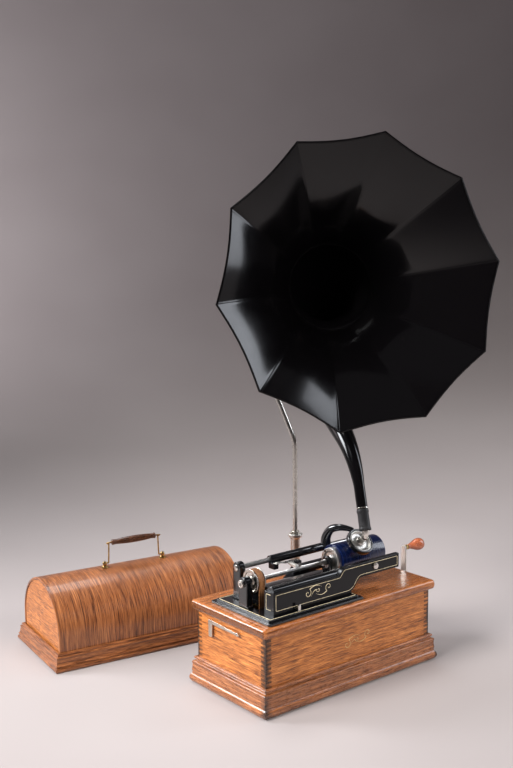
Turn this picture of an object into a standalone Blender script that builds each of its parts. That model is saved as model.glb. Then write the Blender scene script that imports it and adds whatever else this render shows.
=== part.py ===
"""Wind-up cylinder phonograph with a swan-necked ten-panel horn, its crane and its bentwood lid.

Metres, +Z up. The origin is the centre of the case's underside, which stands on the floor. The front of
the case faces -Y, the crank is at +X and the belt pulley at -X. The lid stands beside the case.
"""

from math import cos, pi, radians, sin

import bmesh
import bpy
from mathutils import Matrix, Vector

GAP = 0.0003

# Case
WALL_X, WALL_Y = 0.1977, 0.0958
WALL_T = 0.012
WALL_TOP = 0.1364
MOULDING_TOP = 0.0489
FINGERS = 11
BOTTOM_T = 0.012
DECK_X, DECK_Y = 0.2077, 0.1058
DECK_Z0, DECK_Z1 = 0.1367, 0.1547
DECK_OPENING = (-0.172, 0.018, -0.072, 0.058)

# Mechanism on the deck
BED_X0, BED_X1, BED_Y0, BED_Y1 = -0.191, 0.027, -0.098, 0.065
BED_Z0, BED_Z1 = 0.155, 0.1625
PANEL_X0, PANEL_X1 = -0.166, 0.0135
PANEL_Y0, PANEL_Y1, BOX_Y1 = -0.080, -0.070, -0.053
PANEL_TOP = 0.2025
RAIL_X1, RAIL_Z0, RAIL_Z1 = 0.134, 0.1885, 0.2145
PLATFORM_Z, PLATFORM_Y1, PLATFORM_X0 = 0.178, 0.020, -0.134
PLATE_WALL = 0.004
MANDREL_Y, MANDREL_Z = -0.010, 0.205
SHAFT_R = 0.0032
MANDREL_X0, MANDREL_X1, MANDREL_R0, MANDREL_R1 = 0.0265, 0.1395, 0.0232, 0.0224
RECORD_X0, RECORD_X1, RECORD_R, RECORD_BORE = 0.0335, 0.1415, 0.0286, 0.0236
SCREW_X0 = -0.1790
PULLEY_X0, PULLEY_X1, PULLEY_R = -0.1605, -0.1425, 0.019
BELT_W, BELT_T = 0.012, 0.0016
ROD_Y, ROD_Z, ROD_R = 0.030, 0.2195, 0.0045
BRAKE_X, BRAKE_Y, BRAKE_Z0, BRAKE_Z1 = -0.1160, -0.0665, 0.1652, 0.1682
SLEEVE_X0, SLEEVE_X1, SLEEVE_R = -0.085, 0.057, 0.0078

# Reproducer, whose axis leans forward through the mandrel's axis
EYE = Vector((0.070, -0.043, 0.240))
EYE_AXIS = Vector((0, -0.70, 0.714)).normalized()
EYE_R, EYE_RING_R = 0.0225, 0.0265

# Horn, drawn in its own upright plane: q runs back from the small end, z up
HORN_X, HORN_Y, HORN_Z = 0.071, -0.056, 0.262
HORN_BACK = Vector((0.3926, 0.9197, 0))
HORN_SIDE = Vector((0.9197, -0.3926, 0))
STEM_TILT, NECK_TILT, MOUTH_TILT = radians(22.5), radians(62), radians(-85)
STEM_L, BEND_R, NECK_L, SWAN_R, BELL_L = 0.0745, 0.170, 0.140, 0.115, 0.170
PIPE_R, BELL_R = 0.0103, 0.274
PANELS = 10
PANEL_PHASE = radians(28.93)
SHEET_T = 0.0008
CONNECTOR_L = 0.040

# Crane
CRANE_X, CRANE_Y = 0.0515, 0.1165
CRANE_ROD_R = 0.0047
SOCKET_R, SOCKET_TOP = 0.0095, 0.219
BAR_Y, BAR_Z, BAR_X1 = 0.189, 0.840, 0.262

# Motor arbors, each a point (y, z) on an axis along X; gear radii are a millimetre a tooth
DRIVE = (MANDREL_Y, 0.1142)
INTERMEDIATE = (-0.0291, 0.0880)
BARREL = (0.018, 0.0770)
GOVERNOR = (-0.0363, 0.1165)
ARBOR_R = 0.002
BARREL_ARBOR_R = 0.004
PLATE_LEFT, PLATE_RIGHT, PLATE_T = -0.1400, -0.0195, 0.0025
TOOTH = 0.001

# Crank
CRANK_Y, CRANK_Z, CRANK_L = -0.010, 0.106, 0.086
CRANK_X = 0.2195

# Lid, standing on the floor behind the case's left end
LID_X, LID_Y, LID_YAW = -0.158, 0.369, radians(-7.76)
LID_HX, LID_HY = 0.2102, 0.1083
LID_SHELL_X, LID_SHELL_Y = 0.198, 0.096
LID_SIDE_Z, LID_TOP_Z = 0.060, 0.150
LID_SHELL_T = 0.0045
HANDLE_Z, GRIP_Z = 0.1585, 0.199
FOOT_X, GRIP_X = 0.063, 0.053

AXIS_X = Matrix(((0, 0, 1), (1, 0, 0), (0, 1, 0))).to_4x4()
FACING_FRONT = Matrix(((1, 0, 0), (0, 0, -1), (0, 1, 0))).to_4x4()


# ------------------------------------------------------------------ scene and materials

def clear_scene():
    for obj in list(bpy.data.objects):
        bpy.data.objects.remove(obj, do_unlink=True)


def new_collection(name):
    collection = bpy.data.collections.new(name)
    bpy.context.scene.collection.children.link(collection)
    return collection


def material(name, colour, roughness, metallic=0.0):
    made = bpy.data.materials.new(name)
    made.use_nodes = True
    shader = made.node_tree.nodes["Principled BSDF"]
    shader.inputs["Base Color"].default_value = (*colour, 1)
    shader.inputs["Roughness"].default_value = roughness
    shader.inputs["Metallic"].default_value = metallic
    return made


clear_scene()
PARTS = new_collection("wind_up_phonograph")
CUTTERS = new_collection("cutters")
OAK = material("oak", (0.48, 0.20, 0.065), 0.35)
LID_OAK = material("lid_oak", (0.34, 0.13, 0.05), 0.4)
JAPAN = material("black_japan", (0.012, 0.012, 0.014), 0.18)
NICKEL = material("nickel", (0.78, 0.74, 0.68), 0.22, 1.0)
STEEL = material("steel", (0.56, 0.56, 0.55), 0.35, 1.0)
BRASS = material("brass", (0.72, 0.52, 0.22), 0.3, 1.0)
RUBBER = material("rubber", (0.02, 0.02, 0.02), 0.7)
LEATHER = material("belt_leather", (0.30, 0.14, 0.06), 0.6)
CELLULOID = material("blue_celluloid", (0.01, 0.03, 0.16), 0.15)
HARDWOOD = material("turned_hardwood", (0.30, 0.07, 0.03), 0.3)


# ------------------------------------------------------------------ modelling helpers

def finish(obj, name, mat, collection=None):
    obj.name = name
    for other in list(obj.users_collection):
        other.objects.unlink(obj)
    (collection or PARTS).objects.link(obj)
    if mat:
        obj.data.materials.clear()
        obj.data.materials.append(mat)
    return obj


def from_bmesh(bm, name, mat):
    mesh = bpy.data.meshes.new(name)
    bmesh.ops.recalc_face_normals(bm, faces=bm.faces)
    bm.to_mesh(mesh)
    bm.free()
    return finish(bpy.data.objects.new(name, mesh), name, mat)


def baked(obj):
    """The same piece as one plain welded mesh, with its modifiers applied and its faces pointing out."""
    bpy.context.view_layer.update()
    evaluated = obj.evaluated_get(bpy.context.evaluated_depsgraph_get())
    mesh = bpy.data.meshes.new_from_object(evaluated)
    bm = bmesh.new()
    bm.from_mesh(mesh)
    bmesh.ops.remove_doubles(bm, verts=bm.verts, dist=1e-6)
    bmesh.ops.recalc_face_normals(bm, faces=bm.faces)
    bm.to_mesh(mesh)
    bm.free()
    name, world = obj.name, obj.matrix_world.copy()
    mats = [slot.material for slot in obj.material_slots]
    bpy.data.objects.remove(obj, do_unlink=True)
    made = finish(bpy.data.objects.new(name, mesh), name, mats[0] if mats else None)
    made.matrix_world = world
    return made


def smooth(obj, angle=35):
    obj.data.shade_smooth()
    obj.data.set_sharp_from_angle(angle=radians(angle))
    return obj


def box(name, x0, x1, y0, y1, z0, z1, mat, edge=0.0, segments=1):
    bm = bmesh.new()
    bmesh.ops.create_cube(bm, size=1)
    centre = Vector(((x0 + x1) / 2, (y0 + y1) / 2, (z0 + z1) / 2))
    for vert in bm.verts:
        vert.co.x *= x1 - x0
        vert.co.y *= y1 - y0
        vert.co.z *= z1 - z0
        vert.co += centre
    obj = from_bmesh(bm, name, mat)
    if edge:
        bevel = obj.modifiers.new("rounded edges", "BEVEL")
        bevel.width = edge
        bevel.segments = segments
        obj = baked(obj)
    return obj


def rod(name, start, end, radius, mat, sides=16):
    start, end = Vector(start), Vector(end)
    bm = bmesh.new()
    bmesh.ops.create_cone(bm, cap_ends=True, segments=sides, radius1=radius, radius2=radius,
                          depth=(end - start).length)
    obj = from_bmesh(bm, name, mat)
    turn = (end - start).to_track_quat("Z", "Y").to_matrix().to_4x4()
    obj.matrix_world = Matrix.Translation((start + end) / 2) @ turn
    return smooth(obj)


def turned(name, profile, place, mat, steps=24, closed=False):
    """A profile of (radius, height) turned about Z, then placed. A closed profile makes a bored piece."""
    mesh = bpy.data.meshes.new(name)
    count = len(profile)
    edges = [(i, i + 1) for i in range(count - 1)] + ([(count - 1, 0)] if closed else [])
    mesh.from_pydata([(r, 0, h) for r, h in profile], edges, [])
    obj = finish(bpy.data.objects.new(name, mesh), name, mat)
    obj.matrix_world = place
    screw = obj.modifiers.new("turned", "SCREW")
    screw.steps = screw.render_steps = steps
    screw.use_merge_vertices = True
    screw.merge_threshold = 0.00001
    return smooth(baked(obj))


def along_x(x, y, z):
    return Matrix.Translation((x, y, z)) @ AXIS_X


def along(origin, axis):
    return Matrix.Translation(origin) @ Vector(axis).to_track_quat("Z", "Y").to_matrix().to_4x4()


def plate(name, outlines, thickness, place, mat):
    """A flat piece: 2D outlines, the later ones holes, extruded equally both ways."""
    curve = bpy.data.curves.new(name, "CURVE")
    curve.dimensions = "2D"
    curve.fill_mode = "BOTH"
    curve.extrude = thickness / 2
    for outline in outlines:
        spline = curve.splines.new("POLY")
        spline.points.add(len(outline) - 1)
        for point, (u, v) in zip(spline.points, outline):
            point.co = (u, v, 0, 1)
        spline.use_cyclic_u = True
    obj = finish(bpy.data.objects.new(name, curve), name, mat)
    obj.matrix_world = place
    return baked(obj)


def wire(name, points, radius, mat, radii=None, resolution=2):
    curve = bpy.data.curves.new(name, "CURVE")
    curve.dimensions = "3D"
    curve.bevel_depth = radius
    curve.bevel_resolution = resolution
    curve.use_fill_caps = True
    spline = curve.splines.new("POLY")
    spline.points.add(len(points) - 1)
    for i, point in enumerate(points):
        spline.points[i].co = (*point, 1)
        spline.points[i].radius = radii[i] if radii else 1
    return smooth(baked(finish(bpy.data.objects.new(name, curve), name, mat)), 60)


def rounded(points, count=6):
    """A smooth curve through the points, with count steps between each two (Catmull-Rom)."""
    points = [Vector(p) for p in points]
    padded = [2 * points[0] - points[1], *points, 2 * points[-1] - points[-2]]
    route = []
    for a, b, c, d in zip(padded, padded[1:], padded[2:], padded[3:]):
        for i in range(count):
            t = i / count
            bend = (2 * a - 5 * b + 4 * c - d) * t * t + (3 * b - a - 3 * c + d) * t * t * t
            route.append(0.5 * (2 * b + (c - a) * t + bend))
    return [*route, points[-1]]


def boolean(obj, other, operation):
    modifier = obj.modifiers.new(operation.lower(), "BOOLEAN")
    modifier.operation = operation
    modifier.object = other
    modifier.solver = "EXACT"


def joined(obj, *others):
    for other in others:
        boolean(obj, other, "UNION")
        obj = baked(obj)
        bpy.data.objects.remove(other, do_unlink=True)
    return smooth(obj)


def cut(obj, *cutters):
    """Cuts stay live on the piece; their cutters are kept as hidden wire shapes."""
    for cutter in cutters:
        boolean(obj, cutter, "DIFFERENCE")
        finish(cutter, "cutter_" + cutter.name, None, CUTTERS)
        cutter.hide_render = True
        cutter.display_type = "WIRE"
    return obj


def circle(y, z, radius, sides=16):
    turns = [2 * pi * i / sides for i in range(sides)]
    return [(y + radius * cos(a), z + radius * sin(a)) for a in turns]


def arc(cu, cv, ru, rv, start, end, steps):
    """Points on an ellipse's arc, from start to end in degrees."""
    turns = [radians(start + (end - start) * i / steps) for i in range(steps + 1)]
    return [(cu + ru * cos(a), cv + rv * sin(a)) for a in turns]


def gear_outline(teeth):
    tip, root = teeth * TOOTH, teeth * TOOTH - 1.6 * TOOTH
    outline = []
    for i in range(teeth):
        for share, radius in ((0.0, root), (0.32, tip), (0.62, tip)):
            a = 2 * pi * (i + share) / teeth
            outline.append((radius * cos(a), radius * sin(a)))
    return outline


def gear(name, teeth, x0, x1, centre, mat, bore=0.0):
    outlines = [gear_outline(teeth)] + ([circle(0, 0, bore, 12)] if bore else [])
    return plate(name, outlines, x1 - x0, along_x((x0 + x1) / 2, *centre), mat)


def pivot(name, location, pieces):
    """An empty on a joint's axis that carries the pieces that move together."""
    empty = bpy.data.objects.new(name, None)
    empty.empty_display_size = 0.02
    PARTS.objects.link(empty)
    empty.location = location
    bpy.context.view_layer.update()
    for piece in pieces:
        piece.parent = empty
        piece.matrix_parent_inverse = empty.matrix_world.inverted()
    return empty


# ------------------------------------------------------------------ case

def comb(half, recess, fingers_first):
    """One board end's outline, going up: fingers at half, notches at recess, above the plain part."""
    step = (WALL_TOP - MOULDING_TOP) / FINGERS / 2
    points = [(half if fingers_first else recess, GAP)]
    for i in range(2 * FINGERS):
        is_finger = (i % 2 == 0) == fingers_first
        out = half if is_finger else recess
        inset = GAP / 2 if is_finger else -GAP / 2
        if i:
            points.append((out, MOULDING_TOP + i * step + inset))
        points.append((out, MOULDING_TOP + (i + 1) * step - inset))
    points[-1] = (points[-1][0], WALL_TOP)
    return points


def board(name, half, place, fingers_first, holes=()):
    right = comb(half, half - WALL_T - GAP / 2, fingers_first)
    left = [(-u, v) for u, v in reversed(right)]
    return plate(name, [right + left, *holes], WALL_T, place, OAK)


def base_moulding_profile():
    """(outward, up) from the wall: a roll at the foot, a ledge, a flat band, a cove and a bead on top."""
    roll = arc(0.0052, 0.0085, 0.0071, 0.0085, -90, 62, 6)
    cove = arc(0.0085, 0.0420, -0.0028, -0.0035, 90, 0, 2)
    bead = arc(0.0032, 0.0461, 0.0027, 0.0028, -30, 90, 4)
    return [(GAP, 0), *roll, (0.0083, 0.0200), (0.0083, 0.0370), *cove[1:], *bead, (GAP, MOULDING_TOP)]


def moulding_strip(name, quarter_turns, reach, half):
    """A mitred strip: reach is the wall's distance from the case's centre, half its half-length."""
    place = Matrix.Rotation(quarter_turns * pi / 2, 4, "Z") @ Matrix.Translation((0, -reach, 0)) \
        @ Matrix(((0, 0, -1), (-1, 0, 0), (0, 1, 0))).to_4x4()
    strip = plate(name, [base_moulding_profile()], 2 * half, place, OAK)
    for vert in strip.data.vertices:
        mitre = vert.co.x - GAP / 2
        vert.co.z += mitre if vert.co.z > 0 else -mitre
    return smooth(strip, 30)


def build_case():
    y = WALL_Y - WALL_T / 2
    x = WALL_X - WALL_T / 2
    board("case_front_board", WALL_X, Matrix.Translation((0, -y, 0)) @ FACING_FRONT, False)
    board("case_back_board", WALL_X, Matrix.Translation((0, y, 0)) @ FACING_FRONT, False)
    board("case_left_board", WALL_Y, along_x(-x, 0, 0), True)
    board("case_right_board", WALL_Y, along_x(x, 0, 0), True, [circle(CRANK_Y, CRANK_Z, 0.0088)])
    bush = [(0.0125, 0.003), (0.0125, 0), (0.0085, 0), (0.0085, -WALL_T), (0.0045, -WALL_T),
            (0.0045, 0.003)]
    turned("winding_bush", bush, along_x(WALL_X + GAP, CRANK_Y, CRANK_Z), NICKEL, 20, True)
    for name, turns, reach, half in (("front", 0, WALL_Y, WALL_X), ("right", 1, WALL_X, WALL_Y),
                                     ("back", 2, WALL_Y, WALL_X), ("left", 3, WALL_X, WALL_Y)):
        moulding_strip("base_moulding_" + name, turns, reach, half)
    inner_x, inner_y = WALL_X - WALL_T - GAP, WALL_Y - WALL_T - GAP
    box("bottom_board", -inner_x, inner_x, -inner_y, inner_y, 0, BOTTOM_T, OAK)
    deck = box("deck_board", -DECK_X, DECK_X, -DECK_Y, DECK_Y, DECK_Z0, DECK_Z1, OAK)
    bevel = deck.modifiers.new("bullnose", "BEVEL")
    bevel.width = 0.007
    bevel.segments = 3
    deck = smooth(baked(deck), 40)
    x0, x1, y0, y1 = DECK_OPENING
    cut(deck, box("motor_opening", x0, x1, y0, y1, DECK_Z0 - 0.01, DECK_Z1 + 0.01, None))
    build_catch()
    build_crane_socket()


def build_catch():
    """A nickel leaf on the left wall, screwed down at its front end, with a finger tab at the back."""
    x = -WALL_X
    bar = plate("lid_catch", [[(-0.030, 0.1228), (-0.026, 0.1212), (-0.018, 0.1222), (0.0465, 0.1225),
                               (0.0470, 0.0990), (0.0565, 0.0980), (0.0575, 0.1290), (0.0450, 0.1290),
                               (-0.018, 0.1262), (-0.026, 0.1268), (-0.030, 0.1252)]],
                0.0012, along_x(x - 0.0045, 0, 0), NICKEL)
    foot = rod("foot", (x - 0.0043, -0.024, 0.124), (x - GAP, -0.024, 0.124), 0.0023, NICKEL, 12)
    head = rod("head", (x - 0.0062, -0.024, 0.124), (x - 0.0042, -0.024, 0.124), 0.0022, NICKEL, 12)
    piece = joined(bar, foot, head)
    pivot("lid_catch_pivot", (x - 0.0045, -0.024, 0.124), [piece])


def build_crane_socket():
    """A nickel tube with a flange on top, on a bracket screwed to the back of the case."""
    bore = CRANE_ROD_R + GAP
    profile = [(0.0125, SOCKET_TOP + 0.006), (0.0125, SOCKET_TOP), (SOCKET_R, SOCKET_TOP),
               (SOCKET_R, 0.085), (0.007, 0.080), (bore, 0.080), (bore, SOCKET_TOP + 0.006)]
    tube = turned("tube", profile, Matrix.Translation((CRANE_X, CRANE_Y, 0)), NICKEL, 20, True)
    x0, x1 = CRANE_X - 0.018, CRANE_X + 0.018
    foot = box("crane_socket", x0, x1, WALL_Y + GAP, WALL_Y + 0.0035, 0.074, 0.130, NICKEL, 0.001)
    web = box("web", CRANE_X - 0.006, CRANE_X + 0.006, WALL_Y + 0.002, CRANE_Y - 0.007, 0.088, 0.120,
              NICKEL)
    return joined(foot, web, tube)


# ------------------------------------------------------------------ bedplate and bearings

def s_curve(x0, z0, x1, z1, steps=4):
    """A smooth step from one level to the next, level at both ends."""
    points = []
    for i in range(steps + 1):
        t = i / steps
        points.append((x0 + (x1 - x0) * t, z0 + (z1 - z0) * t * t * (3 - 2 * t)))
    return points


def front_panel_outline():
    lower = s_curve(0.0135, 0.1690, 0.0365, RAIL_Z0)
    upper = s_curve(-0.018, PANEL_TOP, -0.003, RAIL_Z1)
    return [(PANEL_X0, BED_Z1 - 0.002), (PANEL_X1, BED_Z1 - 0.002), *lower, (RAIL_X1, RAIL_Z0),
            (RAIL_X1, RAIL_Z1), *reversed(upper), (PANEL_X0, PANEL_TOP)]


def build_bedplate():
    flange = box("bedplate", BED_X0, BED_X1, BED_Y0, BED_Y1, BED_Z0, BED_Z1, JAPAN, 0.002)
    panel_place = Matrix.Translation((0, (PANEL_Y0 + PANEL_Y1) / 2, 0)) @ FACING_FRONT
    panel = plate("panel", [front_panel_outline()], PANEL_Y1 - PANEL_Y0, panel_place, JAPAN)
    body = box("body", PANEL_X0 + 0.0005, PANEL_X1 - 0.0005, PANEL_Y1 - 0.001, BOX_Y1,
               BED_Z1 - 0.002, PANEL_TOP - 0.0005, JAPAN)
    platform = box("platform", PLATFORM_X0, BED_X1 - 0.001, BOX_Y1 - 0.001, PLATFORM_Y1,
                   BED_Z1 - 0.002, PLATFORM_Z, JAPAN)
    rear_low = s_curve(0.012, 0.164, 0.034, 0.176, 3)
    rear_top = s_curve(-0.010, 0.190, -0.035, 0.172, 3)
    rear = [(-0.035, BED_Z1 - 0.002), (0.012, BED_Z1 - 0.002), *rear_low, (0.140, 0.176), (0.140, 0.2260),
            (0.129, 0.2260), (0.129, 0.190), *rear_top]
    rear_arm = plate("rear_arm", [rear], 0.018, Matrix.Translation((0, 0.043, 0)) @ FACING_FRONT, JAPAN)
    lug = rod("lug", (0.129, ROD_Y, ROD_Z), (0.140, ROD_Y, ROD_Z), 0.0088, JAPAN)
    bed = joined(flange, panel, body, platform, rear_arm, lug)
    wall = PLATE_WALL
    cut(bed,
        box("box_hollow", PANEL_X0 + wall, PANEL_X1 - wall, PANEL_Y0 + wall, BOX_Y1 - wall,
            BED_Z0 - 0.01, PANEL_TOP - wall, None),
        box("platform_hollow", PLATFORM_X0 + wall, BED_X1 - wall, BOX_Y1 + wall, PLATFORM_Y1 - wall,
            BED_Z0 - 0.01, PLATFORM_Z - wall, None),
        box("belt_slot", PULLEY_X0 - 0.003, PULLEY_X1 + 0.005, -0.0335, 0.0145, BED_Z0 - 0.01,
            BED_Z1 + 0.01, None),
        box("lever_slot", BRAKE_X - 0.005, BRAKE_X + 0.0135, PANEL_Y0 - 0.01, PANEL_Y0 + 0.012,
            BRAKE_Z0 - 0.0015, BRAKE_Z1 + 0.0023, None),
        rod("rod_seat", (0.120, ROD_Y, ROD_Z), (0.137, ROD_Y, ROD_Z), ROD_R + GAP, None))


def bearing_post(name, x0, x1, y, axis_z, width, base_z, bore, mat):
    """An upright with a round head, bored for a shaft along X, on a wider foot."""
    half = width / 2
    foot = half + 0.003
    head = arc(y, axis_z, half, half, 0, 180, 8)
    outline = [(y + foot, base_z), (y + foot, base_z + 0.003), (y + half, base_z + 0.006), *head,
               (y - half, base_z + 0.006), (y - foot, base_z + 0.003), (y - foot, base_z)]
    return plate(name, [outline, circle(y, axis_z, bore)], x1 - x0, along_x((x0 + x1) / 2, 0, 0), mat)


def build_bearings():
    shaft_bore = SHAFT_R + GAP
    smooth(bearing_post("shaft_post_left", -0.1775, -0.1635, MANDREL_Y, MANDREL_Z, 0.022, BED_Z1 + GAP,
                        shaft_bore, JAPAN))
    smooth(bearing_post("rod_post_left", -0.1600, -0.1470, ROD_Y, ROD_Z, 0.021, BED_Z1 + GAP,
                        ROD_R + GAP, JAPAN))
    smooth(bearing_post("centre_bearing", 0.0145, 0.0235, MANDREL_Y, MANDREL_Z, 0.020, PLATFORM_Z + GAP,
                        shaft_bore, JAPAN))
    rod("back_rod", (-0.1605, ROD_Y, ROD_Z), (0.1365, ROD_Y, ROD_Z), ROD_R, STEEL, 16)
    y = PANEL_Y0 - GAP
    screw = [(0, 0.0045), (0.004, 0.0040), (0.006, 0.0025), (0.006, 0), (0, 0)]
    turned("rail_screw", screw, along((0.0718, y, 0.2030), (0, -1, 0)), NICKEL, 20)


def build_brake_lever():
    x, y, front = BRAKE_X, BRAKE_Y, PANEL_Y0 - 0.008
    bar = box("brake_lever", x - 0.003, x + 0.003, front, y + 0.005, BRAKE_Z0, BRAKE_Z1, NICKEL)
    tab = box("tab", x - 0.0031, x + 0.0031, front - 0.0005, front + 0.0025, BED_Z1 + 0.0004, 0.1740, NICKEL)
    pin = rod("pin", (x, y, BRAKE_Z0 + 0.001), (x, y, 0.1980), 0.0025, NICKEL, 12)
    pivot("brake_lever_pivot", (x, y, BRAKE_Z0), [joined(bar, tab, pin)])


# ------------------------------------------------------------------ mandrel, record, belt

def build_mandrel():
    y, z = MANDREL_Y, MANDREL_Z
    bore = SHAFT_R + GAP
    drum = [(MANDREL_R0, MANDREL_X0), (MANDREL_R1, MANDREL_X1), (0.0195, MANDREL_X1), (0.0195, 0.052),
            (0.0075, 0.048), (0.0075, 0.060), (bore, 0.060), (bore, 0.0265), (0.0070, 0.0265),
            (0.0080, 0.036), (0.0190, 0.040), (0.0205, 0.0265)]
    mandrel = turned("mandrel", drum, along_x(0, y, z), NICKEL, 24, True)
    threads = []
    for i in range(10):
        x = -0.130 + i * 0.0132
        threads += [(SHAFT_R, x), (SHAFT_R - 0.0006, x + 0.0066)]
    profile = [(0, SCREW_X0), (SHAFT_R, SCREW_X0), (SHAFT_R, -0.1400), *threads, (SHAFT_R, 0.0070),
               (0.0055, 0.0072), (0.0055, 0.0098), (0.0042, 0.0102), (0.0042, 0.0112), (0.0055, 0.0116),
               (0.0055, 0.0138), (SHAFT_R, 0.0141), (SHAFT_R, 0.1300), (0, 0.1330)]
    screw = turned("feed_screw", profile, along_x(0, y, z), STEEL, 12)
    x0, x1, rim = PULLEY_X0, PULLEY_X1, PULLEY_R + 0.0024
    wheel = [(rim, x0), (rim, x0 + 0.0016), (PULLEY_R, x0 + 0.0024), (PULLEY_R, x1 - 0.0024),
             (rim, x1 - 0.0016), (rim, x1), (0.0150, x1), (0.0065, x1 - 0.004), (0.0065, x1),
             (bore, x1), (bore, x0), (0.0150, x0), (0.0165, x0 + 0.0006)]
    pulley = turned("mandrel_pulley", wheel, along_x(0, y, z), NICKEL, 20, True)
    pivot("mandrel_axis", (0, y, z), [mandrel, screw, pulley])
    edge = 0.0006
    shell = [(RECORD_R - edge, RECORD_X0), (RECORD_R, RECORD_X0 + edge), (RECORD_R, RECORD_X1 - edge),
             (RECORD_R - edge, RECORD_X1), (RECORD_BORE, RECORD_X1), (RECORD_BORE, RECORD_X0)]
    record = turned("cylinder_record", shell, along_x(0, y, z), CELLULOID, 32, True)
    pivot("record_axis", (RECORD_X0, y, z), [record])


def build_belt():
    def loop(radius):
        top = arc(MANDREL_Y, MANDREL_Z, radius, radius, 0, 180, 12)
        return top + arc(DRIVE[0], DRIVE[1], radius, radius, 180, 360, 10)
    inner = PULLEY_R + GAP
    middle = (PULLEY_X0 + PULLEY_X1) / 2
    outlines = [loop(inner + BELT_T), loop(inner)]
    smooth(plate("drive_belt", outlines, BELT_W, along_x(middle, 0, 0), LEATHER))


# ------------------------------------------------------------------ motor

def motor_plate(name, x0, mat):
    outline = [(-0.052, 0.024), (0.056, 0.024), (0.056, BED_Z0 - GAP), (-0.052, BED_Z0 - GAP)]
    holes = [circle(*centre, ARBOR_R + GAP, 10) for centre in (DRIVE, INTERMEDIATE, GOVERNOR)]
    holes.append(circle(*BARREL, BARREL_ARBOR_R + GAP, 12))
    return plate(name, [outline, *holes], PLATE_T, along_x(x0 + PLATE_T / 2, 0, 0), mat)


def x_rod(name, x0, x1, centre, radius, mat, sides=12):
    return rod(name, (x0, *centre), (x1, *centre), radius, mat, sides)


def build_motor():
    left = motor_plate("motor_plate_left", PLATE_LEFT, BRASS)
    pillars = [x_rod("pillar", PLATE_LEFT + 0.001, PLATE_RIGHT - GAP, spot, 0.0035, STEEL, 10)
               for spot in ((-0.046, 0.030), (0.050, 0.030), (-0.046, 0.146), (0.050, 0.146))]
    joined(left, *pillars)
    motor_plate("motor_plate_right", PLATE_RIGHT, BRASS)
    arbor_x0, arbor_x1 = PLATE_LEFT - 0.0025, PLATE_RIGHT + PLATE_T + 0.0006

    drive = joined(x_rod("drive_arbor", PULLEY_X0, arbor_x1, DRIVE, ARBOR_R, STEEL),
                   gear("pinion", 8, -0.130, -0.122, DRIVE, STEEL),
                   gear("wheel", 20, -0.112, -0.108, DRIVE, BRASS))
    bore = ARBOR_R + GAP
    x0, x1, rim = PULLEY_X0, PULLEY_X1, PULLEY_R + 0.0018
    wheel = [(rim, x0), (rim, x0 + 0.0016), (PULLEY_R, x0 + 0.0024), (PULLEY_R, x1 - 0.0024),
             (rim, x1 - 0.0016), (rim, x1), (bore, x1), (bore, x0)]
    pulley = turned("drive_pulley", wheel, along_x(0, *DRIVE), STEEL, 16, True)
    pivot("drive_axis", (0, *DRIVE), [drive, pulley])

    middle = joined(x_rod("intermediate_gear", arbor_x0, arbor_x1, INTERMEDIATE, ARBOR_R, STEEL),
                    gear("wheel", 24, -0.1285, -0.1235, INTERMEDIATE, BRASS),
                    gear("pinion", 8, -0.102, -0.092, INTERMEDIATE, STEEL))
    pivot("intermediate_axis", (0, *INTERMEDIATE), [middle])

    drum_x0, drum_x1, radius, bore = -0.0965, -0.030, 0.034, BARREL_ARBOR_R + GAP
    inner, floor = radius - 0.0015, drum_x0 + 0.003
    drum = [(radius, drum_x0), (radius, drum_x1), (inner, drum_x1), (inner, floor),
            (bore + 0.002, floor), (bore, floor), (bore, drum_x0)]
    barrel = joined(turned("spring_barrel", drum, along_x(0, *BARREL), BRASS, 20, True),
                    gear("great_gear", 40, -0.1005, -0.0945, BARREL, BRASS, bore + 0.0005))
    pivot("barrel_axis", (0, *BARREL), [barrel, build_mainspring(drum_x0 + 0.006, drum_x1 - 0.003)])

    governor = joined(x_rod("governor_spindle", arbor_x0, arbor_x1, GOVERNOR, ARBOR_R, STEEL),
                      gear("pinion", 6, -0.114, -0.106, GOVERNOR, STEEL),
                      x_rod("disc", -0.047, -0.043, GOVERNOR, 0.017, BRASS, 16))
    pivot("governor_axis", (0, *GOVERNOR), [governor, build_governor_weights()])

    winding = joined(x_rod("winding_gear", arbor_x0, -0.0065, BARREL, BARREL_ARBOR_R, STEEL),
                     gear("wheel", 30, -0.0135, -0.0085, BARREL, STEEL))
    pivot("winding_gear_axis", (0, *BARREL), [winding])


def build_mainspring(x0, x1):
    """A flat spiral, wound from the arbor out to the drum."""
    turns, steps = 5, 9
    inner, outer, half = 0.0075, 0.0310, 0.0006
    outside, inside = [], []
    for i in range(turns * steps + 1):
        a = 2 * pi * i / steps
        radius = inner + (outer - inner) * i / (turns * steps)
        outside.append(((radius + half) * cos(a), (radius + half) * sin(a)))
        inside.append(((radius - half) * cos(a), (radius - half) * sin(a)))
    return plate("mainspring", [outside + inside[::-1]], x1 - x0, along_x((x0 + x1) / 2, *BARREL), STEEL)


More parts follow.
